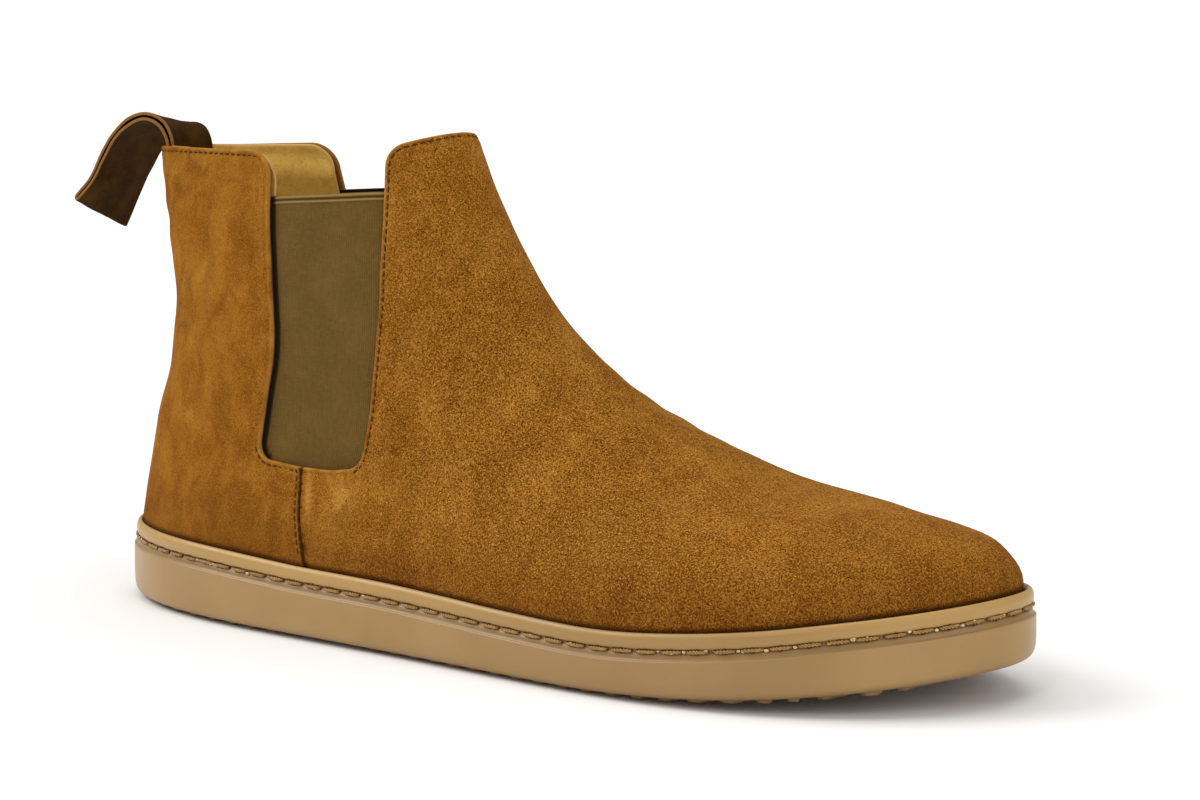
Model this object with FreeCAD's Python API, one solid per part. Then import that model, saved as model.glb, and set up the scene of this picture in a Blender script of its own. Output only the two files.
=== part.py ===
import FreeCAD, Part
import math
import os

# Chelsea boot, right foot.  Millimetres.  While it is built, x runs forward from the back of the
# sole, y runs towards the inner (medial) side and z runs up from the ground.  The finished parts
# are moved so that the origin is the centre of the whole boot's footprint, on the ground.

# ---------------------------------------------------------------- driving dimensions
SOLE_LENGTH = 300.0
SOLE_BASE = 1.0             # underside of the sole, above the ground that its tread stands on
SOLE_FLOOR = 6.8            # top of the cup sole's floor
LEDGE = 10.9                # top of the lower sidewall at the ball of the foot
CHANNEL = LEDGE + 2.4       # middle of the stitch channel under the rim band
RIM = 18.1                  # top of the cup sole's wall at the ball of the foot
# The ledge, channel and rim all stand higher at the heel and, a little, at the toe.
RISE_AT = (-5.0, 30.0, 55.0, 75.0, 95.0, 125.0, 150.0, 170.0, 205.0, 230.0, 250.0, 268.0, 285.0, 305.0)
WALL_RISE = (6.0, 5.4, 4.9, 4.2, 3.4, 2.9, 1.9, 0.95, 0.0, 0.65, 1.3, 2.0, 2.1, 2.1)
BAND_INSET = 1.15           # how far the rim band is set in from the sole's edge
CHANNEL_INSET = 1.7
STITCH_INSET = 1.05
SPRING_START = 190.0        # the toe lifts off the ground from here forward
TOE_SPRING = 9.6            # lift of the sole at its tip

LEATHER = 1.6
LAYER_GAP = 0.15            # air between layers that lie on one another
INNER_LAYER = 1.0           # elastic, heel counter and toe puff share this layer
LINING = 0.8
LASTING_MARGIN = 14.0       # width of leather turned in under the board
BOARD = 2.0
FOOTBED = 4.2
FOOTBED_COVER = 0.8
THREAD_HEIGHT = 0.35
THREAD_WIDTH = 0.7
THREAD_FROM_EDGE = 1.2

TAB_WIDTH = 26.0
TAB_PLY = 1.2
TAB_GAP = 0.7               # between the two plies of the folded tab
# The middle lines of the tab's outer and inner edges, from where they bend at the collar over to
# the folded end: (x, z).  The tab hangs with its inner edge lower.
TAB_OUTER_PATH = ((16.6, 141.8), (15.4, 144.6), (12.8, 147.0), (8.6, 148.3), (1.8, 146.6), (-5.0, 142.2),
                  (-10.0, 135.6), (-15.2, 127.8), (-21.0, 122.0))
TAB_INNER_PATH = ((16.4, 141.8), (13.6, 143.6), (9.6, 144.6), (4.2, 144.4), (-2.4, 142.0), (-8.0, 137.6),
                  (-12.6, 132.0), (-17.2, 125.4), (-23.4, 113.4))

# Depth of each layer's outer face below the outside of the leather.
INNER_LAYER_DEPTH = LEATHER + LAYER_GAP
LINING_DEPTH = INNER_LAYER_DEPTH + INNER_LAYER + LAYER_GAP
INSIDE_DEPTH = LINING_DEPTH + LINING + LAYER_GAP

# Heights of the flat layers, before the toe spring is added.
TURNED_LEATHER = SOLE_FLOOR + LAYER_GAP
BOARD_LOW = TURNED_LEATHER + LEATHER + LAYER_GAP
FOOTBED_LOW = BOARD_LOW + BOARD + LAYER_GAP
COVER_LOW = FOOTBED_LOW + FOOTBED + LAYER_GAP

# Half-widths across the sole and the upper at five stations from the back (0) to the front (1).
STATIONS = (0.0, 0.25, 0.5, 0.75, 1.0)
SOLE_OUTER = (62.0, 50.0, 49.4, 63.0, 66.0)
SOLE_INNER = (66.0, 41.0, 38.0, 56.0, 60.0)
TOE_SWING = 9.0             # the toe's tip lies this far to the inner side

# The upper's back and front profiles, and its half-widths, at heights above the ground.
PROFILE_HEIGHTS = (0, 22, 32, 42, 50, 60, 74, 92, 110, 128, 146, 165)
BACK_PROFILE = (2.9, 2.9, 4.2, 6.4, 8.4, 10.3, 14.5, 16.0, 12.4, 9.0, 6.2, 4.2)
FRONT_PROFILE = (296.8, 296.2, 289.2, 262, 227.4, 200.6, 174.1, 153.3, 140.4, 130.2, 121.8, 108.6)
WIDTH_HEIGHTS = (0, 22, 50, 76, 110, 146, 165)
OUTER_WIDTHS = (
    (59, 46.6, 46.5, 59.7, 62),
    (59, 46.6, 46.5, 59.7, 62),
    (52, 36.5, 34, 43, 58),
    (42, 33, 32, 34, 40),
    (30, 25, 26, 30, 34),
    (24, 17.5, 19, 25, 30),
    (23, 16.5, 18, 24, 29),
)
INNER_WIDTHS = (
    (63, 37.6, 35.1, 52.7, 56),
    (63, 37.6, 35.1, 52.7, 56),
    (56, 35, 29, 40, 60),
    (42, 33, 32, 34, 40),
    (30, 25, 26, 30, 34),
    (24, 17.5, 19, 25, 30),
    (23, 16.5, 18, 24, 29),
)
SWING_BY_HEIGHT = (9, 9, 7, 3, 0, 0, 0)
AROUND = 56                 # points around each level of the upper and the sole

os.makedirs("parts", exist_ok=True)


# ---------------------------------------------------------------- small helpers
def smooth(xs, ys, x):
    """Value at x of a smooth curve through the points, which never overshoots them."""
    last = len(xs) - 1
    steps = [(ys[i + 1] - ys[i]) / (xs[i + 1] - xs[i]) for i in range(last)]
    slopes = [steps[0]]
    for i in range(1, last):
        same_way = steps[i - 1] * steps[i] > 0
        mean = 2 * steps[i - 1] * steps[i] / (steps[i - 1] + steps[i]) if same_way else 0.0
        slopes.append(mean)
    slopes.append(steps[-1])
    x = min(max(x, xs[0]), xs[-1])
    i = max(k for k in range(last) if xs[k] <= x)
    width = xs[i + 1] - xs[i]
    t = (x - xs[i]) / width
    start = (1 + 2 * t) * (1 - t) ** 2 * ys[i] + t * (1 - t) ** 2 * width * slopes[i]
    end = t * t * (3 - 2 * t) * ys[i + 1] - t * t * (1 - t) * width * slopes[i + 1]
    return start + end


def lift(x):
    """Rise of the sole and of everything on it, towards the toe."""
    run = max(0.0, (x - SPRING_START) / (SOLE_LENGTH - SPRING_START))
    return TOE_SPRING * run * run


def wall_rise(x):
    """Extra height of the sole's ledge, channel and rim towards the heel and the toe."""
    return smooth(RISE_AT, WALL_RISE, x)


def station_width(widths, u):
    """Half-width between the five stations, by the cubic through them (Lagrange form)."""
    total = 0.0
    for i, at in enumerate(STATIONS):
        weight = 1.0
        for k, other in enumerate(STATIONS):
            if k != i:
                weight *= (u - other) / (at - other)
        total += weight * widths[i]
    return total


def sole_point(angle):
    """A point of the sole's outline.  Angle 0 is the back and half a turn is the toe."""
    u = (1 - math.cos(angle)) / 2
    side = math.sin(angle)
    widths = SOLE_OUTER if side < 0 else SOLE_INNER
    y = side * station_width(widths, u) + TOE_SWING * u ** 4
    return SOLE_LENGTH * u, y


def upper_point(angle, z):
    """A point of the upper's outside at a height, before the toe spring."""
    u = (1 - math.cos(angle)) / 2
    side = math.sin(angle)
    table = OUTER_WIDTHS if side < 0 else INNER_WIDTHS
    widths = [smooth(WIDTH_HEIGHTS, [row[i] for row in table], z) for i in range(5)]
    back = smooth(PROFILE_HEIGHTS, BACK_PROFILE, z)
    front = smooth(PROFILE_HEIGHTS, FRONT_PROFILE, z)
    swing = smooth(WIDTH_HEIGHTS, SWING_BY_HEIGHT, z)
    x = back + (front - back) * u
    y = side * station_width(widths, u) + swing * u ** 4
    return x, y


def angles():
    return [2 * math.pi * i / AROUND for i in range(AROUND)]


def closed_body(rings):
    """Solid inside a smooth skin over a stack of flat-ended rings of points."""
    columns = [[ring[i] for ring in rings] for i in range(AROUND)]
    height = len(rings)
    skin = Part.BSplineSurface()
    skin.buildFromPolesMultsKnots(
        columns,
        [1] * (AROUND + 1),
        [4] + [1] * (height - 4) + [4],
        [float(i) for i in range(AROUND + 1)],
        [float(i) for i in range(height - 2)],
        True, False, 3, 3)
    face = skin.toShape()
    caps = [Part.Face(Part.Wire([skin.vIso(float(v)).toShape()])) for v in (0, height - 3)]
    shell = Part.makeShell([face] + caps)
    shell.sewShape()
    solid = Part.makeSolid(Part.Shell(shell.Faces))
    if solid.Volume < 0:
        solid.reverse()
    return solid


def biggest(shape):
    """The one solid that is wanted out of a cut's result."""
    return max(shape.Solids, key=lambda solid: solid.Volume)


def side_line(points):
    """Edges of a side-view outline.  Each point is (x, z, corner radius)."""
    count = len(points)
    flat = [FreeCAD.Vector(x, 0, z) for x, z, _ in points]
    cuts = []
    for i, (_, _, radius) in enumerate(points):
        before = (flat[i - 1] - flat[i]).normalize()
        after = (flat[(i + 1) % count] - flat[i]).normalize()
        half = before.getAngle(after) / 2
        reach = radius / math.tan(half) if radius else 0.0
        bisector = (before + after).normalize() if radius else before
        middle = flat[i] + bisector * (radius / math.sin(half) - radius) if radius else flat[i]
        cuts.append((flat[i] + before * reach, middle, flat[i] + after * reach))
    edges = []
    for i in range(count):
        arrive, middle, leave = cuts[i]
        if points[i][2]:
            edges.append(Part.Arc(arrive, middle, leave).toShape())
        edges.append(Part.LineSegment(leave, cuts[(i + 1) % count][0]).toShape())
    return Part.Wire(edges)


def side_face(points):
    return Part.Face(side_line(points))


def through(face, y_from, y_to):
    """A side-view face pushed across the boot from one y to another."""
    placed = face.copy()
    placed.translate(FreeCAD.Vector(0, y_from, 0))
    return placed.extrude(FreeCAD.Vector(0, y_to - y_from, 0))


SLAB_BACK = 60.0


def slab(low, high):
    """Everything between two heights that rise with the toe spring."""
    back = -SLAB_BACK
    front = SOLE_LENGTH + 20.0
    middle = (SPRING_START + front) / 2
    rise = lift(front)

    def sprung(z):
        curve = Part.BezierCurve()
        curve.setPoles([FreeCAD.Vector(SPRING_START, 0, z), FreeCAD.Vector(middle, 0, z),
                        FreeCAD.Vector(front, 0, z + rise)])
        return curve.toShape()

    corners = [FreeCAD.Vector(SPRING_START, 0, low), FreeCAD.Vector(back, 0, low),
               FreeCAD.Vector(back, 0, high), FreeCAD.Vector(SPRING_START, 0, high)]
    flat_sides = [Part.LineSegment(a, b).toShape() for a, b in zip(corners, corners[1:])]
    end = Part.LineSegment(FreeCAD.Vector(front, 0, high + rise), FreeCAD.Vector(front, 0, low + rise))
    wire = Part.Wire(flat_sides + [sprung(high), end.toShape(), sprung(low)])
    return through(Part.Face(wire), -100.0, 100.0)


def below_rim():
    """Everything under the top of the cup sole's wall."""
    back = -SLAB_BACK
    front = SOLE_LENGTH + 20.0
    count = 34
    xs = [back + (front - back) * i / count for i in range(count + 1)]
    top = [FreeCAD.Vector(x, 0, RIM + lift(x) + wall_rise(x)) for x in xs]
    curve = Part.BSplineCurve()
    curve.interpolate(top)
    corners = [top[-1], FreeCAD.Vector(front, 0, -10.0), FreeCAD.Vector(back, 0, -10.0), top[0]]
    flat_sides = [Part.LineSegment(a, b).toShape() for a, b in zip(corners, corners[1:])]
    return through(Part.Face(Part.Wire([curve.toShape()] + flat_sides)), -100.0, 100.0)


# ---------------------------------------------------------------- the upper's nested skins
UPPER_LEVELS = [-14.0, -9.0, -4.0] + [1.0 + 5.0 * i for i in range(35)]


def upper_rings():
    """Rings of points of the upper's outside, with the toe spring, flat at both ends."""
    rings = []
    for z in UPPER_LEVELS:
        share = min(1.0, (z + 14.0) / 8.0)
        ring = []
        for angle in angles():
            x, y = upper_point(angle, z)
            ring.append(FreeCAD.Vector(x, y, z + share * lift(x)))
        rings.append(ring)
    return rings


UPPER_RINGS = upper_rings()


def upper_body(depth):
    """Solid inside the upper's outside, moved inwards by depth along its normals."""
    last = len(UPPER_RINGS) - 1
    moved = []
    for level, ring in enumerate(UPPER_RINGS):
        below = UPPER_RINGS[max(level - 1, 0)]
        above = UPPER_RINGS[min(level + 1, last)]
        new_ring = []
        for i, point in enumerate(ring):
            along = ring[(i + 1) % AROUND] - ring[i - 1]
            upward = above[i] - below[i]
            if level in (0, last):
                upward = FreeCAD.Vector(0, 0, 1)
                along.z = 0
            inward = along.cross(upward).normalize()
            new_ring.append(point + inward * depth)
        moved.append(new_ring)
    return closed_body(moved)


# ---------------------------------------------------------------- side-view outlines
# Each side's elastic window.  The inner side's window reaches further back at the collar.
class Side:
    def __init__(self, name, y_from, y_to, rear_shift, quarter_top):
        self.name = name
        self.y_from = y_from
        self.y_to = y_to
        self.rear_shift = rear_shift
        self.quarter_top = quarter_top


OUTER_SIDE = Side("lateral", -100.0, 0.0, 0.0, 139.2)
INNER_SIDE = Side("medial", 0.0, 100.0, -6.0, 140.8)
SIDES = (OUTER_SIDE, INNER_SIDE)
WINDOW_LOW = 48.6
SEAM_TOP = 87.3             # x of the side seam where it meets the window
FAR = 60.0                  # outlines run this far past the boot
SEAM_GAP = 0.1


def side_seam(offset):
    """The seam from the window down to the sole."""
    return [(SEAM_TOP + offset, WINDOW_LOW, 0), (89.0 + offset, 39.5, 40), (97.0 + offset, 20.0, 60),
            (100.0 + offset, -30.0, 0)]


def quarter_outline(side):
    shift = side.rear_shift
    return [(-FAR, 138.4, 0), (24.0, 139.4, 100), (64.6 + shift, side.quarter_top, 8.5),
            (67.4 + shift, 119.0, 120), (75.2 + shift * 0.4, 82.0, 40), (69.0, WINDOW_LOW + 1.2, 4.5),
            *side_seam(-SEAM_GAP), (-FAR, -30.0, 0)]


def vamp_outline():
    front = SOLE_LENGTH + FAR
    return [(108.2, 141.6, 6.5), (121.5, 146.0, 0), (front, 146.0, 0), (front, -30.0, 0),
            *reversed(side_seam(0.0)), (98.0, WINDOW_LOW, 30), (109.2, WINDOW_LOW + 1.6, 7),
            (112.8, 66.0, 60), (112.2, 98.0, 150)]


def gusset_outline(side):
    """The elastic, with the border that is sewn under the leather."""
    shift = side.rear_shift
    return [(60.0 + shift, 126.2, 0), (114.5, 129.9, 0), (118.0, 98.0, 100), (118.5, 62.0, 60),
            (114.5, 43.5, 7), (63.5, 43.0, 5), (69.2 + shift * 0.4, 82.0, 40), (61.6 + shift, 119.0, 100)]


COUNTER_OUTLINE = [(-FAR, 0.0, 0), (66.0, 0.0, 0), (60.0, 30.0, 20), (32.0, 60.0, 20), (-FAR, 60.0, 0)]
PUFF_OUTLINE = [(248.0, 0.0, 0), (244.0, 90.0, 0), (SOLE_LENGTH + FAR, 90.0, 0),
                (SOLE_LENGTH + FAR, 0.0, 0)]


def panel(outline, side):
    return through(side_face(outline), side.y_from, side.y_to)


def both_sides(outline_for):
    """One piece that runs round the boot, with its own outline on each side."""
    halves = [panel(outline_for(side), side) for side in SIDES]
    return halves[0].fuse(halves[1])


# ---------------------------------------------------------------- leather, lining and stiffeners
def leather_skin():
    """The whole upper's leather: its walls and the margin turned in under the board."""
    inside = upper_body(LEATHER).common(slab(TURNED_LEATHER + LEATHER, 400.0))
    hole = upper_body(LASTING_MARGIN)
    whole = upper_body(0.0).common(slab(TURNED_LEATHER, 400.0))
    return whole.cut(inside).cut(hole)


def wall_layer(depth, thickness, low):
    """A layer of the upper's wall, from a height up."""
    return upper_body(depth).cut(upper_body(depth + thickness)).common(slab(low, 400.0))


def thread_band(outline):
    """Side view of a row of stitches that follows the edge of a panel."""
    face = side_face(outline)
    outer = face.makeOffset2D(-THREAD_FROM_EDGE)
    return outer.cut(face.makeOffset2D(-THREAD_FROM_EDGE - THREAD_WIDTH))


def make_upper(parts):
    leather = leather_skin()
    for side in SIDES:
        parts["quarter_" + side.name] = biggest(leather.common(panel(quarter_outline(side), side)))
    vamp_cutter = both_sides(lambda side: vamp_outline())
    parts["vamp"] = biggest(leather.common(vamp_cutter))

    inner = wall_layer(INNER_LAYER_DEPTH, INNER_LAYER, BOARD_LOW)
    for side in SIDES:
        parts["gusset_" + side.name] = biggest(inner.common(panel(gusset_outline(side), side)))
    parts["heel_counter"] = biggest(inner.common(through(side_face(COUNTER_OUTLINE), -100.0, 100.0)))
    parts["toe_puff"] = biggest(inner.common(through(side_face(PUFF_OUTLINE), -100.0, 100.0)))

    lining = wall_layer(LINING_DEPTH, LINING, BOARD_LOW)
    parts["vamp_lining"] = biggest(lining.common(vamp_cutter))
    parts["quarter_lining"] = biggest(lining.common(both_sides(quarter_outline)))


def make_upper_stitching(parts):
    gap = 0.05
    layer = upper_body(-gap - THREAD_HEIGHT).cut(upper_body(-gap)).common(slab(RIM + max(WALL_RISE) + 2.0, 400.0))
    above_window_foot = through(side_face([(0, WINDOW_LOW - 4.0, 0), (0, 200, 0), (200, 200, 0),
                                           (200, WINDOW_LOW - 4.0, 0)]), -100.0, 100.0)
    for side in SIDES:
        quarter = through(thread_band(quarter_outline(side)), side.y_from, side.y_to)
        parts["quarter_stitching_" + side.name] = layer.common(quarter)
        vamp = through(thread_band(vamp_outline()), side.y_from, side.y_to)
        parts["vamp_stitching_" + side.name] = layer.common(vamp).common(above_window_foot)


# ---------------------------------------------------------------- layers under the foot
def make_inner_sole(parts):
    board_space = upper_body(INSIDE_DEPTH)
    parts["lasting_board"] = board_space.common(slab(BOARD_LOW, BOARD_LOW + BOARD))
    footbed_space = upper_body(INSIDE_DEPTH + 0.3)
    parts["footbed"] = footbed_space.common(slab(FOOTBED_LOW, FOOTBED_LOW + FOOTBED))
    parts["footbed_cover"] = footbed_space.common(slab(COVER_LOW, COVER_LOW + FOOTBED_COVER))
    filler_space = upper_body(LASTING_MARGIN + 0.3)
    parts["sole_filler"] = filler_space.common(slab(TURNED_LEATHER, TURNED_LEATHER + LEATHER))


# ---------------------------------------------------------------- cup sole
def sole_ring(inset, z, rise_share=0.0, flat=False):
    """The sole's outline, moved inwards, at a height above the sprung sole."""
    turn = 0.001
    ring = []
    for angle in angles():
        x, y = sole_point(angle)
        ahead = sole_point(angle + turn)
        behind = sole_point(angle - turn)
        along = FreeCAD.Vector(ahead[0] - behind[0], ahead[1] - behind[1], 0)
        inward = along.cross(FreeCAD.Vector(0, 0, 1)).normalize()
        place = FreeCAD.Vector(x, y, 0) + inward * inset
        rise = 0.0 if flat else lift(place.x) + rise_share * wall_rise(place.x)
        ring.append(FreeCAD.Vector(place.x, place.y, z + rise))
    return ring


def outline_body(inset):
    """Straight-sided body with the sole's outline."""
    return closed_body([sole_ring(inset, z, flat=True) for z in (-20.0, 0.0, 25.0, 50.0, 70.0)])


def sole_body():
    """The sole's outside.  Each level is (inset, height, share of the wall's extra height)."""
    low = ((4.2, -4.0, 0), (4.0, SOLE_BASE - 0.6, 0), (2.2, SOLE_BASE + 0.1, 0), (0.9, SOLE_BASE + 1.0, 0),
           (0.25, SOLE_BASE + 2.6, 0), (0.0, SOLE_BASE + 4.6, 0.2), (0.0, 7.4, 0.5), (0.1, LEDGE - 1.0, 1),
           (0.25, LEDGE - 0.3, 1), (0.6, LEDGE + 0.2, 1))
    channel = ((1.1, CHANNEL - 1.1, 1), (CHANNEL_INSET, CHANNEL - 0.5, 1), (CHANNEL_INSET, CHANNEL, 1),
               (CHANNEL_INSET, CHANNEL + 0.4, 1), (BAND_INSET, CHANNEL + 0.7, 1))
    band = ((BAND_INSET, RIM - 4.0, 1), (BAND_INSET, RIM - 2.5, 1), (BAND_INSET + 0.1, RIM - 1.2, 1),
            (BAND_INSET + 0.5, RIM - 0.3, 1), (BAND_INSET + 1.1, RIM + 0.2, 1), (BAND_INSET + 1.5, RIM + 2.0, 1))
    rings = [sole_ring(4.2, -20.0, flat=True), sole_ring(4.2, -12.0, flat=True)]
    rings += [sole_ring(*level) for level in low + channel + band]
    rings += [sole_ring(BAND_INSET + 1.5, z, flat=True) for z in (45.0, 60.0)]
    return closed_body(rings)


def tread_bars():
    """Rows of short bars under the heel and the forefoot, cut to the sole's outline."""
    pitch = 8.0
    length = 4.4
    bars = []
    for start, end in ((14.0, 84.0), (118.0, 286.0)):
        for i in range(int((end - start) / pitch)):
            x = start + i * pitch
            low = lift(x)
            bars.append(Part.makeBox(length, 200.0, SOLE_BASE + 1.5, FreeCAD.Vector(x, -100.0, low)))
    return Part.makeCompound(bars).common(outline_body(9.0))


def make_cup_sole(parts):
    outside = sole_body().common(slab(SOLE_BASE, 100.0)).common(below_rim())
    cavity = upper_body(-LAYER_GAP).common(slab(SOLE_FLOOR, 400.0))
    parts["cup_sole"] = biggest(outside.cut(cavity).fuse(tread_bars()))


def make_sole_stitching(parts):
    """Long stitches lying in the channel, one solid each."""
    pitch = 7.25
    stitch = 5.8
    thick = 0.6
    steps = 2000
    ring = []
    for i in range(steps):
        x, y = sole_point(2 * math.pi * i / steps)
        ahead = sole_point(2 * math.pi * (i + 1) / steps)
        along = FreeCAD.Vector(ahead[0] - x, ahead[1] - y, 0)
        inward = along.cross(FreeCAD.Vector(0, 0, 1)).normalize()
        ring.append((FreeCAD.Vector(x, y, 0) + inward * STITCH_INSET, along.normalize()))
    solids = []
    travelled = pitch
    for i, (point, along) in enumerate(ring):
        travelled += (point - ring[i - 1][0]).Length
        if travelled < pitch:
            continue
        travelled = 0.0
        middle = CHANNEL + wall_rise(point.x) + lift(point.x)
        ahead = CHANNEL + wall_rise(point.x + 1) + lift(point.x + 1)
        bar = Part.makeBox(stitch, thick, thick, FreeCAD.Vector(-stitch / 2, -thick / 2, -thick / 2))
        slope = math.degrees(math.atan(ahead - middle))
        bar.rotate(FreeCAD.Vector(0, 0, 0), FreeCAD.Vector(0, 1, 0), -slope * along.x)
        bar.rotate(FreeCAD.Vector(0, 0, 0), FreeCAD.Vector(0, 0, 1), math.degrees(math.atan2(along.y, along.x)))
        bar.translate(FreeCAD.Vector(point.x, point.y, middle))
        solids.append(bar)
    parts["sole_stitching"] = Part.makeCompound(solids)


# ---------------------------------------------------------------- pull tab
def tab_curve(points):
    curve = Part.BSplineCurve()
    curve.interpolate([FreeCAD.Vector(x, 0, z) for x, z in points])
    return curve


def tab_side(path, offset):
    """Smooth line beside one of the tab's paths."""
    first, last = path.FirstParameter, path.LastParameter
    points = []
    for i in range(13):
        at = first + (last - first) * i / 12
        direction = path.tangent(at)[0]
        sideways = FreeCAD.Vector(direction.z, 0, -direction.x)
        points.append(path.value(at) + sideways * offset)
    line = Part.BSplineCurve()
    line.interpolate(points)
    return line


def tab_outline(points, y, offset, early):
    """Wire that runs down one side of a path, round its end and back, starting early by some mm."""
    path = tab_curve(points)
    left = tab_side(path, offset)
    right = tab_side(path, -offset)
    tip = path.value(path.LastParameter) + path.tangent(path.LastParameter)[0] * offset
    back = path.tangent(path.FirstParameter)[0] * -early
    corners = [right.StartPoint, right.StartPoint + back, left.StartPoint + back, left.StartPoint]
    if not early:
        corners = [right.StartPoint, left.StartPoint]
    edges = [left.toShape(), Part.Arc(left.EndPoint, tip, right.EndPoint).toShape(), right.toShape()]
    edges += [Part.LineSegment(a, b).toShape() for a, b in zip(corners, corners[1:])]
    wire = Part.Wire(Part.__sortEdges__(edges))
    wire.translate(FreeCAD.Vector(0, y, 0))
    return wire


def tab_body(offset, early=0.0):
    """Solid between the outlines at the tab's two edges."""
    half = TAB_WIDTH / 2
    return Part.makeLoft([tab_outline(TAB_OUTER_PATH, -half, offset, early),
                          tab_outline(TAB_INNER_PATH, half, offset, early)], True, True)


def make_pull_tab(parts):
    half = TAB_WIDTH / 2
    parts["pull_tab"] = biggest(tab_body(TAB_GAP / 2 + TAB_PLY).cut(tab_body(TAB_GAP / 2, 3.0)))

    root_depth = INSIDE_DEPTH
    root_layer = upper_body(root_depth).cut(upper_body(root_depth + 2 * TAB_PLY))
    root = through(side_face([(-FAR, 124.0, 0), (21.0, 124.0, 0), (21.0, 138.6, 0), (-FAR, 138.6, 0)]),
                   -half, half)
    parts["pull_tab_root"] = biggest(root_layer.common(root))

    thread_depth = root_depth + 2 * TAB_PLY + 0.05
    thread_layer = upper_body(thread_depth).cut(upper_body(thread_depth + THREAD_HEIGHT))
    rows = [through(side_face([(-FAR, z, 0), (20.0, z, 0), (20.0, z + THREAD_WIDTH, 0),
                               (-FAR, z + THREAD_WIDTH, 0)]), -half, half) for z in (127.0, 135.5)]
    parts["pull_tab_stitching"] = Part.makeCompound([thread_layer.common(row) for row in rows])


# ---------------------------------------------------------------- build and write
def write(parts):
    whole = Part.makeCompound(list(parts.values()))
    box = whole.optimalBoundingBox(True, False)
    home = FreeCAD.Vector(-(box.XMin + box.XMax) / 2, -(box.YMin + box.YMax) / 2, -box.ZMin)
    print("home", home, "size", box.XLength, box.YLength, box.ZLength)
    for name, shape in parts.items():
        placed = shape.copy()
        placed.translate(home)
        placed.exportStep("parts/" + name + ".step")
        print(name, len(placed.Solids), round(placed.Volume), placed.isValid())


def main():
    parts = {}
    make_upper(parts)
    make_upper_stitching(parts)
    make_inner_sole(parts)
    make_cup_sole(parts)
    make_sole_stitching(parts)
    make_pull_tab(parts)
    write(parts)


main()
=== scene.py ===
import math

import bpy
import numpy as np
from mathutils import Matrix, Vector, noise
from mathutils.geometry import delaunay_2d_cdt
from mathutils.kdtree import KDTree


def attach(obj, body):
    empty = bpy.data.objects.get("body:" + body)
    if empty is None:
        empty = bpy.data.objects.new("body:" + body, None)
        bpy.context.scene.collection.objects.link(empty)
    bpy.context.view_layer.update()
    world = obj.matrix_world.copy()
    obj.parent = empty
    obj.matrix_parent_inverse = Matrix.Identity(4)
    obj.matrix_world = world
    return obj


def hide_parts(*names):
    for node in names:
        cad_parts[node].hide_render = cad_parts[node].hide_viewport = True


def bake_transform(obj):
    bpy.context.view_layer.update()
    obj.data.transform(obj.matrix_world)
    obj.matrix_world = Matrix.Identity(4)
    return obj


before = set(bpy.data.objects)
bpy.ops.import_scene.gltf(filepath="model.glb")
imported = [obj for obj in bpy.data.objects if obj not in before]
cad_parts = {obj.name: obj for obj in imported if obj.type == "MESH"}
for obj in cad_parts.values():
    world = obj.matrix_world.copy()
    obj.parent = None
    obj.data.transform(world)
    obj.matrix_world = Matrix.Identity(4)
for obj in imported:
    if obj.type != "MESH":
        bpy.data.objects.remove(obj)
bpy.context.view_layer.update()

# Chelsea boot, right foot.  Shapes are worked out in millimetres with x running forward from the
# back of the sole, y towards the inner side and z up.  HOME moves them to the shared frame.
MM = 0.001
HOME = np.array([-137.365, 0.651, 0.0])
TURN = 2 * math.pi


# ---------------------------------------------------------------- the boot's driving dimensions
SOLE_LENGTH = 300.0
SOLE_BASE = 1.0
LEDGE = 10.9
CHANNEL = 13.3
RIM = 18.1
RISE_AT = (-5.0, 30.0, 55.0, 75.0, 95.0, 125.0, 150.0, 170.0, 205.0, 230.0, 250.0, 268.0, 285.0, 305.0)
WALL_RISE = (6.0, 5.4, 4.9, 4.2, 3.4, 2.9, 1.9, 0.95, 0.0, 0.65, 1.3, 2.0, 2.1, 2.1)
SPRING_START = 190.0
TOE_SPRING = 9.6
LEATHER = 1.6
LINING = 0.8
ELASTIC_DEPTH = 1.75
LINING_DEPTH = 2.9

STATIONS = (0.0, 0.25, 0.5, 0.75, 1.0)
SOLE_OUTER = (62.0, 50.0, 49.4, 63.0, 66.0)
SOLE_INNER = (66.0, 41.0, 38.0, 56.0, 60.0)
TOE_SWING = 9.0
PROFILE_HEIGHTS = (0, 22, 32, 42, 50, 60, 74, 92, 110, 128, 146, 165)
BACK_PROFILE = (2.9, 2.9, 4.2, 6.4, 8.4, 10.3, 14.5, 16.0, 12.4, 9.0, 6.2, 4.2)
FRONT_PROFILE = (296.8, 296.2, 289.2, 262, 227.4, 200.6, 174.1, 153.3, 140.4, 130.2, 121.8, 108.6)
WIDTH_HEIGHTS = (0, 22, 50, 76, 110, 146, 165)
OUTER_WIDTHS = (
    (59, 46.6, 46.5, 59.7, 62),
    (59, 46.6, 46.5, 59.7, 62),
    (52, 36.5, 34, 43, 58),
    (42, 33, 32, 34, 40),
    (30, 25, 26, 30, 34),
    (24, 17.5, 19, 25, 30),
    (23, 16.5, 18, 24, 29),
)
INNER_WIDTHS = (
    (63, 37.6, 35.1, 52.7, 56),
    (63, 37.6, 35.1, 52.7, 56),
    (56, 35, 29, 40, 60),
    (42, 33, 32, 34, 40),
    (30, 25, 26, 30, 34),
    (24, 17.5, 19, 25, 30),
    (23, 16.5, 18, 24, 29),
)
SWING_BY_HEIGHT = (9, 9, 7, 3, 0, 0, 0)

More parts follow.
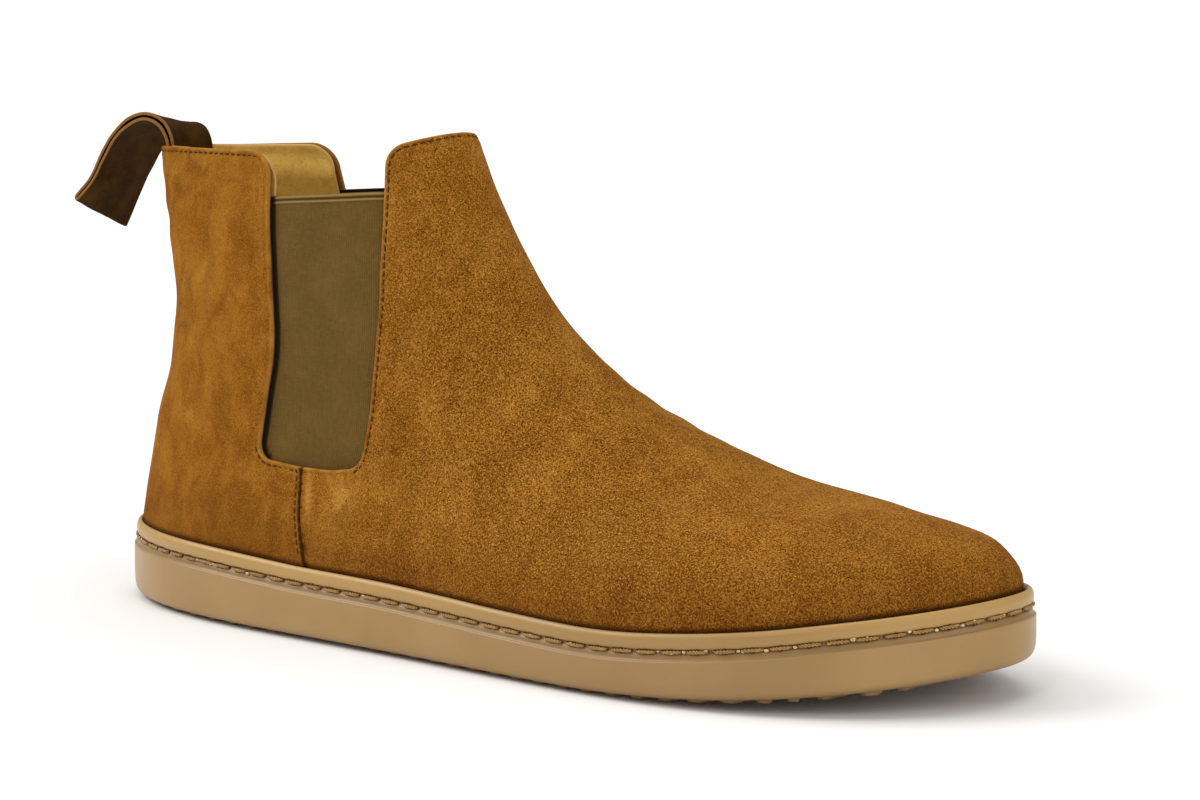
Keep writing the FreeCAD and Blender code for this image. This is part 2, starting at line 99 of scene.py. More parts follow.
WINDOW_LOW = 48.6
SEAM_TOP = 87.3
STITCH_FROM_EDGE = 1.35
LEATHER_LOW = 9.5            # where the leather ends inside the cup sole
PANEL_LOW = 43.2
PANEL_TOP_BACK = 126.2
PANEL_TOP_FRONT = 129.9
PANEL_RIBS = 66
BACK_GAP = 0.002             # angle between the quarters' back edges and the middle plane
PLY_RISE = 0.62              # how far the quarter's edge is lifted where it lies on the vamp
# How far the window is shifted back at its top, and the collar's height there, by inner side or not.
COLLAR_AT = {False: (0.0, 139.2), True: (-6.0, 140.8)}


# ---------------------------------------------------------------- curves
def smooth(xs, ys, x):
    """Value at x of a smooth curve through the points, which never overshoots them."""
    last = len(xs) - 1
    steps = [(ys[i + 1] - ys[i]) / (xs[i + 1] - xs[i]) for i in range(last)]
    slopes = [steps[0]]
    for i in range(1, last):
        same_way = steps[i - 1] * steps[i] > 0
        slopes.append(2 * steps[i - 1] * steps[i] / (steps[i - 1] + steps[i]) if same_way else 0.0)
    slopes.append(steps[-1])
    x = min(max(x, xs[0]), xs[-1])
    i = max(k for k in range(last) if xs[k] <= x)
    width = xs[i + 1] - xs[i]
    t = (x - xs[i]) / width
    start = (1 + 2 * t) * (1 - t) ** 2 * ys[i] + t * (1 - t) ** 2 * width * slopes[i]
    end = t * t * (3 - 2 * t) * ys[i + 1] - t * t * (1 - t) * width * slopes[i + 1]
    return start + end


def ease(x, low, high):
    """0 below low, 1 above high, smooth between.  It also runs downwards if high is below low."""
    t = np.clip((x - low) / (high - low), 0.0, 1.0)
    return t * t * (3 - 2 * t)


def bump(x, middle, half):
    """A smooth hump of height 1 round middle."""
    t = np.clip(np.abs(x - middle) / half, 0.0, 1.0)
    return (1 - t * t) ** 2


def lift(x):
    run = np.maximum(0.0, (x - SPRING_START) / (SOLE_LENGTH - SPRING_START))
    return TOE_SPRING * run * run


RISE_FINE = np.linspace(RISE_AT[0], RISE_AT[-1], 621)
RISES = np.array([smooth(RISE_AT, WALL_RISE, x) for x in RISE_FINE])


def wall_rise(x):
    """Extra height of the sole's ledge, channel and rim towards the heel and the toe."""
    return np.interp(x, RISE_FINE, RISES)


def station_width(widths, u):
    total = 0.0
    for i, at in enumerate(STATIONS):
        weight = 1.0
        for k, other in enumerate(STATIONS):
            if k != i:
                weight = weight * (u - other) / (at - other)
        total = total + weight * widths[i]
    return total


def unit(vectors):
    length = np.linalg.norm(vectors, axis=-1, keepdims=True)
    return vectors / np.maximum(length, 1e-9)


def sampled(at, run, table):
    """Rows of a table at places along its run."""
    return np.stack([np.interp(at, run, column) for column in table.T], axis=1)


def run_of(points, closed=False):
    """Distance travelled along a line of points."""
    if closed:
        points = np.vstack([points, points[:1]])
    steps = np.linalg.norm(np.diff(points, axis=0), axis=1)
    return np.concatenate([[0.0], np.cumsum(steps)])


# ---------------------------------------------------------------- the upper's outside
LEVEL_LOW = 2.0
LEVEL_HIGH = 158.0
LEVEL_STEP = 0.5
ANGLE_STEPS = 720


def undulation(points):
    """Soft unevenness of the leather, in mm, which dies away at the sole."""
    found = np.zeros(len(points))
    for i, (x, y, z) in enumerate(points):
        place = Vector((x, y, z))
        found[i] = 0.55 * noise.noise(place / 34.0) + 0.22 * noise.noise(place / 11.0)
    creases = np.sin(points[:, 2] * 0.62 + points[:, 0] * 0.10)
    shaft_back = bump(points[:, 2], 122.0, 24.0) * ease(points[:, 0], 62.0, 30.0)
    instep = bump(points[:, 0], 176.0, 34.0) * bump(points[:, 2], 62.0, 26.0)
    folds = np.sin(points[:, 0] * 0.42 - points[:, 2] * 0.30)
    found += 0.20 * creases * shaft_back + 0.22 * folds * instep
    return found * ease(points[:, 2] - lift(points[:, 0]), 23.0, 34.0)


def skin_table():
    """The outside of the upper on a fine grid of levels and angles, and its outward normals."""
    levels = np.arange(LEVEL_LOW, LEVEL_HIGH + LEVEL_STEP / 2, LEVEL_STEP)
    angles = np.arange(ANGLE_STEPS) * TURN / ANGLE_STEPS
    u = (1 - np.cos(angles)) / 2
    side = np.sin(angles)
    rows = []
    for level in levels:
        outer = [smooth(WIDTH_HEIGHTS, [row[i] for row in OUTER_WIDTHS], level) for i in range(5)]
        inner = [smooth(WIDTH_HEIGHTS, [row[i] for row in INNER_WIDTHS], level) for i in range(5)]
        back = smooth(PROFILE_HEIGHTS, BACK_PROFILE, level)
        front = smooth(PROFILE_HEIGHTS, FRONT_PROFILE, level)
        swing = smooth(WIDTH_HEIGHTS, SWING_BY_HEIGHT, level)
        half = np.where(side < 0, station_width(outer, u), station_width(inner, u))
        x = back + (front - back) * u
        rows.append(np.stack([x, side * half + swing * u ** 4, level + lift(x)], axis=1))
    points = np.array(rows)
    normals = table_normals(points)
    flat = points.reshape(-1, 3)
    shift = undulation(flat)[:, None] * normals.reshape(-1, 3)
    points = (flat + shift).reshape(points.shape)
    return levels, points, table_normals(points)


def table_normals(points):
    around = np.roll(points, -1, axis=1) - np.roll(points, 1, axis=1)
    upward = np.gradient(points, axis=0)
    return unit(np.cross(upward, around))


LEVELS, SKIN, SKIN_NORMALS = skin_table()
BACKS = np.array([smooth(PROFILE_HEIGHTS, BACK_PROFILE, level) for level in LEVELS])
FRONTS = np.array([smooth(PROFILE_HEIGHTS, FRONT_PROFILE, level) for level in LEVELS])
FRONT_RUN = run_of(SKIN[:, ANGLE_STEPS // 2])


def skin(angle, level):
    """Points and outward normals of the upper's outside."""
    angle = np.asarray(angle, float)
    column = (angle % TURN) / TURN * ANGLE_STEPS
    row = np.clip((np.asarray(level, float) - LEVEL_LOW) / LEVEL_STEP, 0, len(LEVELS) - 1.001)
    i, j = row.astype(int), column.astype(int)
    s, t = (row - i)[..., None], (column - j)[..., None]
    j, k = j % ANGLE_STEPS, (j + 1) % ANGLE_STEPS

    def mixed(table):
        low = table[i, j] * (1 - t) + table[i, k] * t
        high = table[i + 1, j] * (1 - t) + table[i + 1, k] * t
        return low * (1 - s) + high * s

    return mixed(SKIN), unit(mixed(SKIN_NORMALS))


def from_side(x, z, inner_side):
    """Angle and level of the skin's points that lie at x and z in the side view."""
    x, z = np.asarray(x, float), np.asarray(z, float)
    level = z - lift(x)
    back = np.interp(level, LEVELS, BACKS)
    front = np.interp(level, LEVELS, FRONTS)
    u = np.clip((x - back) / (front - back), 0.0, 1.0)
    angle = np.arccos(1 - 2 * u)
    return np.stack([angle if inner_side else TURN - angle, level], axis=-1)


# ---------------------------------------------------------------- side-view outlines
def rounded(points, step=0.06):
    """Dense side-view line through (x, z, corner radius) points, corners rounded."""
    flat = [np.array(p[:2], float) for p in points]
    line = [flat[0]]
    for i in range(1, len(points) - 1):
        radius = points[i][2]
        before, after = unit(flat[i - 1] - flat[i]), unit(flat[i + 1] - flat[i])
        if not radius:
            line.append(flat[i])
            continue
        half = math.acos(np.clip(before @ after, -1, 1)) / 2
        reach = radius / math.tan(half)
        centre = flat[i] + unit(before + after) * radius / math.sin(half)
        start, end = flat[i] + before * reach - centre, flat[i] + after * reach - centre
        count = max(4, int(radius * (math.pi - 2 * half) / step))
        sweep = math.atan2(start[0] * end[1] - start[1] * end[0], start @ end)
        for k in range(count + 1):
            c, s = math.cos(sweep * k / count), math.sin(sweep * k / count)
            line.append(centre + np.array([c * start[0] - s * start[1], s * start[0] + c * start[1]]))
    line.append(flat[-1])
    line = np.array(line)
    run = run_of(line)
    at = np.arange(0.0, run[-1], step)
    return sampled(at, run, line)


def side_seam(offset):
    return [(SEAM_TOP + offset, WINDOW_LOW, 0.6), (89.0 + offset, 39.5, 40), (97.0 + offset, 20.0, 60),
            (100.0 + offset, -30.0, 0)]


def quarter_line(shift, top):
    """The quarter's collar, window edge and side seam, from the back of the heel."""
    return rounded([(-10.0, 138.6, 0), (24.0, 139.4, 100), (64.6 + shift, top, 8.5),
                    (67.4 + shift, 119.0, 120), (75.2 + shift * 0.4, 82.0, 40),
                    (69.0, WINDOW_LOW + 1.2, 4.5), *side_seam(0.0)])


def vamp_line(seam_offset):
    """The vamp's collar, window edge and side seam, from the front of the collar."""
    return rounded([(140.0, 152.1, 0), (108.2, 141.6, 6.5), (112.2, 98.0, 150), (112.8, 66.0, 60),
                    (109.2, WINDOW_LOW + 1.6, 7), (98.0, WINDOW_LOW, 30), *side_seam(seam_offset)])


def even(line, spacing):
    """The same line of (angle, level) with its points evenly spaced on the skin."""
    run = run_of(skin(*line.T)[0])
    count = max(2, int(round(run[-1] / spacing)))
    at = np.linspace(0.0, run[-1], count + 1)
    return sampled(at, run, line)


def on_skin(line, inner_side, low):
    """The part of a side-view line that lies on the boot, as (angle, level)."""
    level = line[:, 1] - lift(line[:, 0])
    back, front = np.interp(level, LEVELS, BACKS), np.interp(level, LEVELS, FRONTS)
    keep = (line[:, 0] > back) & (line[:, 0] < front) & (level > low)
    return from_side(line[keep, 0], line[keep, 1], inner_side)


# ---------------------------------------------------------------- meshes
def place(points):
    return (np.asarray(points) + HOME) * MM


def make_piece(name, points, faces, material, values):
    """A smooth-shaded object from points in mm, with one number a point for each name in values."""
    mesh = bpy.data.meshes.new(name)
    mesh.from_pydata(place(points).tolist(), [], [list(map(int, f)) for f in faces])
    mesh.materials.append(material)
    for key, numbers in values.items():
        mesh.attributes.new(key, "FLOAT", "POINT").data.foreach_set("value", np.asarray(numbers, np.float32))
    mesh.polygons.foreach_set("use_smooth", np.ones(len(mesh.polygons), bool))
    mesh.validate()
    mesh.update()
    piece = bpy.data.objects.new(name, mesh)
    bpy.context.scene.collection.objects.link(piece)
    return piece


def belongs(piece, slot, *nodes, body="boot"):
    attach(piece, body)
    if nodes:
        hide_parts(*nodes)
    return piece


def grid_faces(rows, columns, wrap_columns=False):
    """Faces of a grid of points that is stored row by row."""
    faces = []
    for i in range(rows - 1):
        for j in range(columns if wrap_columns else columns - 1):
            a, b = i * columns + j, i * columns + (j + 1) % columns
            faces.append((a, b, b + columns, a + columns))
    return faces


def sheet_faces(rows, columns, flip=False):
    """Faces of a closed sheet, whose lower grid of points follows its upper one."""
    count = rows * columns
    faces = [f[::-1] if flip else f for f in grid_faces(rows, columns)]
    faces += [tuple(i + count for i in f[::-1]) for f in faces]
    border = (list(range(columns)) + [i * columns + columns - 1 for i in range(1, rows)]
              + [(rows - 1) * columns + j for j in range(columns - 2, -1, -1)]
              + [i * columns for i in range(rows - 2, 0, -1)])
    for a, b in zip(border, border[1:] + border[:1]):
        faces.append((a, b, b + count, a + count) if flip else (b, a, a + count, b + count))
    return faces


def tree_of(points):
    """A search tree over the points."""
    tree = KDTree(len(points))
    for i, point in enumerate(points):
        tree.insert(point, i)
    tree.balance()
    return tree


def nearest(tree, points):
    """Distance from every point to the closest point of the tree."""
    return np.array([tree.find(point)[2] for point in points])


# Lighter (+) or darker (-) marks on the outer side: brushed nap, painted shade and a painted highlight
# on the creases across the shaft's back, and painted shade low on the vamp.
# Each is x, z, half-width along x and z, lean and amount.
NAP_AND_SHADE_MARKS = (
    (104, 42, 7, 9, -0.3, 0.75), (117, 62, 4, 20, 0.1, 0.55), (122, 53, 16, 7, 0.3, 0.25),
    (129, 47, 5, 9, -0.2, -0.7), (130, 36, 5, 9, 0.2, -0.7), (112, 26, 18, 4, 0.0, -0.6),
    (185, 27, 2.2, 3.6, 0.4, 0.7), (215, 27, 34, 9, 0.0, -0.45), (156, 26, 24, 7, 0.0, -0.35),
    (246, 33, 20, 9, 0.0, -0.4), (196, 40, 56, 20, -0.3, -0.6), (168, 54, 26, 10, 0.0, 0.25),
    (200, 50, 18, 7, 0.0, -0.2), (47, 130.4, 13, 2.2, 0.0, -0.55), (47, 123.6, 13, 2.0, 0.0, -0.5),
    (46, 127.0, 12, 1.6, 0.0, 0.3), (34, 135, 8, 4, 0.0, 0.5), (38, 108, 14, 5, 0.0, -0.3),
    (30, 94, 7, 16, 0.0, 0.35), (52, 80, 10, 10, 0.0, 0.3), (32, 56, 12, 12, 0.0, -0.25),
    (64, 44, 16, 8, 0.0, 0.35), (128, 108, 8, 14, 0.2, -0.25), (124, 88, 8, 12, 0.0, 0.3),
    (140, 76, 12, 10, 0.4, 0.25), (277, 38, 10, 8, 0.0, -0.35),
)


def nap_and_shade_tone(points):
    tone = np.zeros(len(points))
    for x, z, half_x, half_z, lean, amount in NAP_AND_SHADE_MARKS:
        along = points[:, 0] - x - lean * (points[:, 2] - z)
        spot = bump(along, 0.0, half_x) * bump(points[:, 2], z, half_z)
        tone = tone + amount * spot * (points[:, 1] < 0)
    return tone


class Patch:
    """A region of the upper's skin inside a closed loop of (angle, level) points.

    A run of the loop is a free edge, whose distance in mm is worked out for every point, or a
    hidden one.
    """

    RINGS = (0.12, 0.32, 0.6, 1.0, 1.35, 1.7, 2.2, 3.0)
    CLEAR = 3.7
    EDGE_SPACING = 0.85
    BULGE = ((0.28, 0.10), (0.5, 0.13), (0.72, 0.10))       # share of the depth, and mm outward

    def __init__(self, runs, spacing, front_scaled=False):
        self.front_scaled = front_scaled
        pieces, free = [], []
        for line, is_free in runs:
            points = even(line, self.EDGE_SPACING)[:-1]
            pieces.append(points)
            free += [is_free] * len(points)
        self.loop = np.vstack(pieces)
        self.free = np.array(free)
        flat = self.flat(self.loop)
        area = np.sum(flat[:, 0] * np.roll(flat[:, 1], -1) - np.roll(flat[:, 0], -1) * flat[:, 1])
        if area < 0:
            self.loop, self.free = self.loop[::-1], self.free[::-1]
        self.steps = self.inward_steps()
        self.fill(spacing)

    def flat(self, points):
        """Flat coordinates in which the region is cut into triangles."""
        height = np.interp(points[:, 1], LEVELS, FRONT_RUN) if self.front_scaled else points[:, 1]
        return np.stack([points[:, 0] * 100.0, height], axis=1)

    def unflat(self, flat):
        level = np.interp(flat[:, 1], FRONT_RUN, LEVELS) if self.front_scaled else flat[:, 1]
        return np.stack([flat[:, 0] / 100.0, level], axis=1)

    def inward_steps(self):
        """The change of (angle, level) that moves each loop point 1 mm into the region."""
        points, normals = skin(*self.loop.T)
        along = unit(np.roll(points, -1, axis=0) - np.roll(points, 1, axis=0))
        self.inward = unit(np.cross(along, normals))
        small = 0.004
        turned = (skin(self.loop[:, 0] + small, self.loop[:, 1])[0]
                  - skin(self.loop[:, 0] - small, self.loop[:, 1])[0]) / (2 * small)
        raised = (skin(self.loop[:, 0], self.loop[:, 1] + 0.5)[0]
                  - skin(self.loop[:, 0], self.loop[:, 1] - 0.5)[0])
        a, b, c = (turned * turned).sum(1), (turned * raised).sum(1), (raised * raised).sum(1)
        p, q = (self.inward * turned).sum(1), (self.inward * raised).sum(1)
        scale = 1.0 / (a * c - b * b)
        return np.stack([(c * p - b * q) * scale, (a * q - b * p) * scale], axis=1)

    def offset_line(self, inset):
        return self.loop + self.steps * inset

    def fill(self, spacing):
        loop_points = skin(*self.loop.T)[0]
        flat_loop = self.flat(self.loop)
        (left, low), (right, high) = flat_loop.min(0), flat_loop.max(0)
        columns = np.arange(left + spacing / 2, right, spacing)
        rows = np.arange(low + spacing / 2, high, spacing)
        grid = np.array([(x + (0.5 * spacing if i % 2 else 0.0), y) for i, y in enumerate(rows)
                         for x in columns])
        inside = self.unflat(grid)
        keep = nearest(tree_of(loop_points), skin(*inside.T)[0]) > self.CLEAR
        rings = [self.flat(self.offset_line(inset)) for inset in self.RINGS]
        flat = np.vstack([flat_loop, *rings, grid[keep]])
        count = len(flat_loop)
        borders = [(i, (i + 1) % count) for i in range(count)]
        made, _, triangles, origins, _, _ = delaunay_2d_cdt([Vector(p) for p in flat], borders, [], 1, 1e-6)
        flat = np.array([tuple(p) for p in made])
        used = np.zeros(len(flat), bool)
        triangles = np.array(triangles, int)
        used[triangles.ravel()] = True
        renumber = np.cumsum(used) - 1
        self.triangles = renumber[triangles]
        where = {}
        for i, sources in enumerate(origins):
            for source in sources:
                where[source] = i
        self.border = np.array([renumber[where[i]] for i in range(count)])
        self.places = self.unflat(flat[used])
        self.points, self.normals = skin(*self.places.T)
        self.edge = nearest(tree_of(loop_points[self.free]), self.points)

    def solid(self, name, material, outer, inner, slot, *nodes, values=None):
        """A closed piece between two depths, given for every point, below the skin."""
        top = self.points - self.normals * outer[:, None]
        bottom = self.points - self.normals * inner[:, None]
        count, size = len(top), len(self.border)
        rim_top, rim_bottom = top[self.border], bottom[self.border]
        loops = []
        for share, out in self.BULGE:
            loops.append(rim_top * (1 - share) + rim_bottom * share - self.inward * out)
        points = np.vstack([top, bottom, *loops])
        faces = [(c, b, a) for a, b, c in self.triangles]
        faces += [(a + count, b + count, c + count) for a, b, c in self.triangles]
        walls = [2 * count + k * size + np.arange(size) for k in range(len(self.BULGE))]
        chain = [self.border, *walls, self.border + count]
        for upper, lower in zip(chain, chain[1:]):
            for i in range(size):
                k = (i + 1) % size
                faces.append((upper[i], upper[k], lower[k], lower[i]))
        numbers = {"rim": np.concatenate([self.edge, self.edge, *[np.where(self.free, 0.0, 9.0)] * 3]),
                   "inside": np.concatenate([np.zeros(count), np.ones(count), np.full(3 * size, 0.5)])}
        above = self.points[:, 2] - RIM - wall_rise(self.points[:, 0]) - lift(self.points[:, 0])
        for key, array in {"above": above, "tone": nap_and_shade_tone(self.points), **(values or {})}.items():
            numbers[key] = np.concatenate([array, array, *[array[self.border]] * 3])
        return belongs(make_piece(name, points, faces, material, numbers), slot, *nodes)


def rounding(distance, radius=0.5):
    """How far the face of a sheet drops towards its cut edge."""
    near = np.clip(1 - distance / radius, 0.0, 1.0)
    return radius * (1 - np.sqrt(1 - near * near))


def stitched_edge(distance):
    """Depth of the leather's face near a sewn edge: a pillowed border with a sunken stitch line."""
    sunk = 0.24 * bump(distance, STITCH_FROM_EDGE, 0.55)
    pillow = 0.16 * bump(distance, 2.9, 1.9) + 0.05 * bump(distance, 0.7, 0.5)
    return rounding(distance) + sunk - pillow


# ---------------------------------------------------------------- materials
def colour(red, green, blue):
    """A linear colour from 0 to 255 screen values."""
    def one(value):
        value /= 255.0
        return value / 12.92 if value <= 0.04045 else ((value + 0.055) / 1.055) ** 2.4
    return (one(red), one(green), one(blue), 1.0)


class Look:
    """A principled material that is built up from noise, ramps, tints and bumps."""

    def __init__(self, name, roughness, specular):
        self.material = bpy.data.materials.new(name)
        self.material.use_nodes = True
        self.tree = self.material.node_tree
        self.shader = self.tree.nodes["Principled BSDF"]
        self.set("Roughness", roughness).set("Specular IOR Level", specular)
        self.place = self.tree.nodes.new("ShaderNodeTexCoord").outputs["Object"]
        self.base = None
        self.normal = None

    def set(self, socket, value):
        self.shader.inputs[socket].default_value = value
        return self

    def node(self, kind, inputs, **settings):
        """A node whose inputs are linked, or set where a plain value is given."""
        made = self.tree.nodes.new(kind)
        for key, value in settings.items():
            setattr(made, key, value)
        for key, value in inputs.items():
            if isinstance(value, bpy.types.NodeSocket):
                self.tree.links.new(value, made.inputs[key])
            else:
                made.inputs[key].default_value = value
        return made

    def stretched(self, x, y, z):
        return self.node("ShaderNodeMapping", {"Vector": self.place, "Scale": (x, y, z)}).outputs["Vector"]

    def forward(self):
        """Position along the boot, in metres."""
        return self.node("ShaderNodeSeparateXYZ", {"Vector": self.place}).outputs["X"]

    def noise(self, size, detail=3.0, rough=0.6, place=None, twist=0.0):
        """Noise whose features are about size mm across, from 0 to 1."""
        return self.node("ShaderNodeTexNoise", {
            "Vector": place or self.place, "Scale": 1.0 / (size * MM), "Detail": detail,
            "Roughness": rough, "Distortion": twist}).outputs["Fac"]

    def ramp(self, value, *stops):
        """Colours or numbers at positions along a value."""
        made = self.node("ShaderNodeValToRGB", {"Fac": value})
        marks = made.color_ramp.elements
        while len(marks) < len(stops):
            marks.new(0.5)
        for mark, (position, *shade) in zip(marks, stops):
            mark.position = position
            mark.color = colour(*shade) if len(shade) == 3 else (shade[0], shade[0], shade[0], 1.0)
        return made.outputs["Color"]

    def mix(self, share, first, second):
        return self.node("ShaderNodeMix", {0: share, 6: first, 7: second}, data_type="RGBA").outputs[2]

    def tint(self, share, red, green, blue):
        """Mixes a share of a colour into the base."""
        self.base = self.mix(share, self.base, colour(red, green, blue))

    def product(self, first, second):
        return self.node("ShaderNodeMath", {0: first, 1: second}, operation="MULTIPLY").outputs[0]

    def total(self, first, second):
        return self.node("ShaderNodeMath", {0: first, 1: second}, operation="ADD").outputs[0]

    def between(self, value, low, high):
        """0 to 1 as the value goes from low to high."""
        return self.node("ShaderNodeMapRange", {"Value": value, "From Min": low, "From Max": high},
                         interpolation_type="SMOOTHSTEP").outputs[0]

    def stored(self, name):
        return self.node("ShaderNodeAttribute", {}, attribute_name=name).outputs["Fac"]

    def relief(self, height, distance, strength=1.0):
        inputs = {"Height": height, "Distance": distance * MM, "Strength": strength}
        if self.normal is not None:
            inputs["Normal"] = self.normal
        self.normal = self.node("ShaderNodeBump", inputs).outputs["Normal"]

    def finish(self, rough=None):
        for socket, value in (("Base Color", self.base), ("Roughness", rough), ("Normal", self.normal)):
            if value is not None:
                self.tree.links.new(value, self.shader.inputs[socket])
        return self.material


def suede():
    look = Look("suede", 0.95, 0.05)
    look.set("Sheen Weight", 0.10).set("Sheen Roughness", 0.5).set("Sheen Tint", colour(216, 150, 70))
    brushed = look.stretched(1.0, 1.0, 0.7)
    patches = look.noise(22.0, 2.5, 0.55, brushed, 0.5)
    marks = look.noise(7.5, 3.0, 0.6, brushed, 0.8)
    mottle = look.noise(1.3, 3.0, 0.65)
    grain = look.noise(0.44, 2.0, 0.7)
    fine = look.noise(0.24, 2.0, 0.6)
    wide = look.ramp(patches, (0.33, 125, 74, 11), (0.50, 145, 91, 20), (0.67, 168, 114, 38))
    narrow = look.ramp(marks, (0.34, 112, 64, 9), (0.50, 146, 93, 24), (0.64, 172, 118, 42))
    look.base = look.mix(0.42, wide, narrow)
    # The stored tone: brushed nap, plus painted shade and highlight on the shaft's creases and painted shade
    # low on the vamp.
    tone = look.product(look.stored("tone"), look.ramp(marks, (0.36, 0.25), (0.62, 1.0)))
    look.tint(look.between(tone, 0.0, 1.1), 190, 138, 64)
    look.tint(look.between(tone, 0.0, -1.3), 78, 44, 6)
    rougher = look.total(look.product(look.between(look.forward(), -0.09, 0.03), 0.82), 0.40)
    for speckle, first, second, shade in ((mottle, (0.34, 0.42), (0.52, 0.0), (96, 52, 8)),
                                          (grain, (0.34, 0.92), (0.50, 0.0), (70, 34, 4)),
                                          (grain, (0.52, 0.0), (0.68, 0.72), (208, 150, 66)),
                                          (fine, (0.30, 0.5), (0.47, 0.0), (84, 44, 8))):
        look.tint(look.product(rougher, look.ramp(speckle, first, second)), *shade)
    suede_edges(look, marks)
    look.tint(look.between(look.stored("inside"), 0.6, 0.9), 140, 98, 44)
    for height, distance, strength in ((patches, 0.5, 0.5), (marks, 0.34, 0.8), (mottle, 0.16, 0.7),
                                       (grain, 0.12, 0.9), (fine, 0.05, 0.8)):
        look.relief(height, distance, strength)
    return look.finish()


def suede_edges(look, marks):
    """Painted shade towards the sole and along the rim, painted shade in the side seams with a painted
    highlight beside them on the vamp, and worn cut edges.
    """
    above, rim, seam = look.stored("above"), look.stored("rim"), look.stored("seam")
    # Painted shade that deepens towards the sole, broken up by the marks' noise.
    low_shade = look.total(above, look.ramp(marks, (0.3, 0.0), (0.7, 4.0)))
    look.tint(look.product(look.between(low_shade, 26.0, 1.0), 0.42), 92, 46, 8)
    # Painted shadow: a near-black line where the suede meets the sole's rim.
    look.tint(look.product(look.between(above, 1.9, 0.2), 0.8), 44, 18, 4)
    worn = look.product(look.between(rim, 0.9, 0.1), look.ramp(marks, (0.35, 0.15), (0.62, 0.75)))
    look.tint(look.product(worn, look.between(seam, 0.25, 0.0)), 178, 126, 56)
    # Painted highlight on the vamp's pillowed strip in front of the side seam, where the seam value is
    # negative.
    look.tint(look.product(look.between(seam, 0.0, -1.0), 0.6), 196, 142, 70)
    # Painted shade along the side seams.
    look.tint(look.product(look.between(seam, 0.0, 0.9), 0.92), 50, 22, 5)


def elastic():
    look = Look("elastic", 0.9, 0.08)
    look.set("Sheen Weight", 0.05).set("Sheen Roughness", 0.5)
    warp = look.noise(0.55, 2.0, 0.6, look.stretched(1.0, 1.0, 0.18))
    weft = look.noise(0.5, 2.0, 0.6, look.stretched(0.25, 0.25, 1.0))
    look.base = look.ramp(look.noise(12.0, 2.0, 0.5), (0.3, 98, 74, 30), (0.7, 108, 83, 37))
    look.tint(look.ramp(warp, (0.35, 0.30), (0.55, 0.0)), 76, 56, 20)
    look.tint(look.ramp(weft, (0.5, 0.0), (0.68, 0.22)), 132, 104, 54)
    # Painted highlight on the two ridges of the folded top edge and painted shade in the groove between
    # them.
    hem = look.stored("hem")
    look.tint(look.between(hem, 0.2, 1.0), 146, 118, 66)
    look.tint(look.between(hem, -0.2, -1.0), 56, 40, 14)
    # The inner face is painted near black: the elastic's darker back with painted shade over it.
    look.tint(look.between(look.stored("inside"), 0.4, 0.6), 26, 19, 10)
    look.tint(look.stored("shade"), 20, 12, 5)
    look.relief(warp, 0.07, 0.8)
    look.relief(weft, 0.06, 0.8)
    return look.finish()


def lining_leather():
    look = Look("lining_leather", 0.6, 0.25)
    creases = look.noise(3.2, 3.0, 0.6, None, 1.2)
    pores = look.noise(0.6, 2.0, 0.6)
    look.base = look.ramp(look.noise(14.0), (0.3, 212, 164, 66), (0.7, 234, 192, 96))
    look.tint(look.ramp(creases, (0.3, 0.4), (0.5, 0.0)), 166, 116, 36)
    look.tint(look.ramp(pores, (0.3, 0.35), (0.45, 0.0)), 156, 106, 34)
    look.tint(look.between(look.stored("rim"), 0.9, 0.1), 206, 164, 96)
    look.relief(creases, 0.15, 0.6)
    look.relief(pores, 0.05, 0.7)
    return look.finish()


def rubber():
    look = Look("rubber", 0.36, 0.55)
    clouds = look.noise(9.0, 3.0, 0.55)
    dust = look.noise(0.8, 3.0, 0.65)
    look.base = look.ramp(look.noise(34.0, 2.0, 0.5), (0.35, 161, 126, 70), (0.65, 170, 137, 82))
    look.tint(look.ramp(clouds, (0.35, 0.22), (0.6, 0.0)), 154, 116, 64)
    look.tint(look.ramp(dust, (0.26, 0.3), (0.38, 0.0)), 132, 98, 52)
    look.tint(look.product(look.stored("band"), 0.6), 186, 146, 78)
    # Painted shade in the stitch channel, its holes and the gap inside the rim.
    look.tint(look.product(look.stored("recess_shade"), 0.72), 88, 58, 22)
    # Painted shade along the middle of the sole's wall, from the waist to the ball.
    forward = look.forward()
    ball_shade = look.product(look.between(forward, -0.04, 0.07), look.between(forward, 0.145, 0.11))
    look.tint(look.product(ball_shade, 0.45), 140, 104, 56)
    # Painted shade on the underside, its rounded lower edge and the tread bars.
    look.tint(look.product(look.stored("under"), 0.7), 108, 80, 42)
    look.relief(clouds, 0.10, 0.4)
    look.relief(dust, 0.04, 0.5)
    return look.finish(look.ramp(clouds, (0.3, 0.30), (0.7, 0.44)))


def glue():
    look = Look("glue", 0.16, 0.6).set("Coat Weight", 0.6)
    look.base = look.ramp(look.noise(0.9, 2.0, 0.6), (0.35, 168, 132, 80), (0.65, 222, 200, 160))
    return look.finish()


def thread(name, light, dark, roughness, coat):
    look = Look(name, roughness, 0.25).set("Coat Weight", coat).set("Coat Roughness", 0.25)
    fibre = look.noise(0.25, 2.0, 0.6)
    look.base = look.ramp(fibre, (0.3, *dark), (0.6, *light))
    look.tint(look.ramp(look.noise(6.0, 2.0, 0.6), (0.35, 0.35), (0.6, 0.0)), *dark)
    # Painted shade where the thread sinks into its holes: the ends go near black.
    hole = tuple(value * 0.12 for value in colour(*dark)[:3]) + (1.0,)
    look.base = look.mix(look.stored("end"), look.base, hole)
    look.relief(fibre, 0.05, 0.8)
    return look.finish()


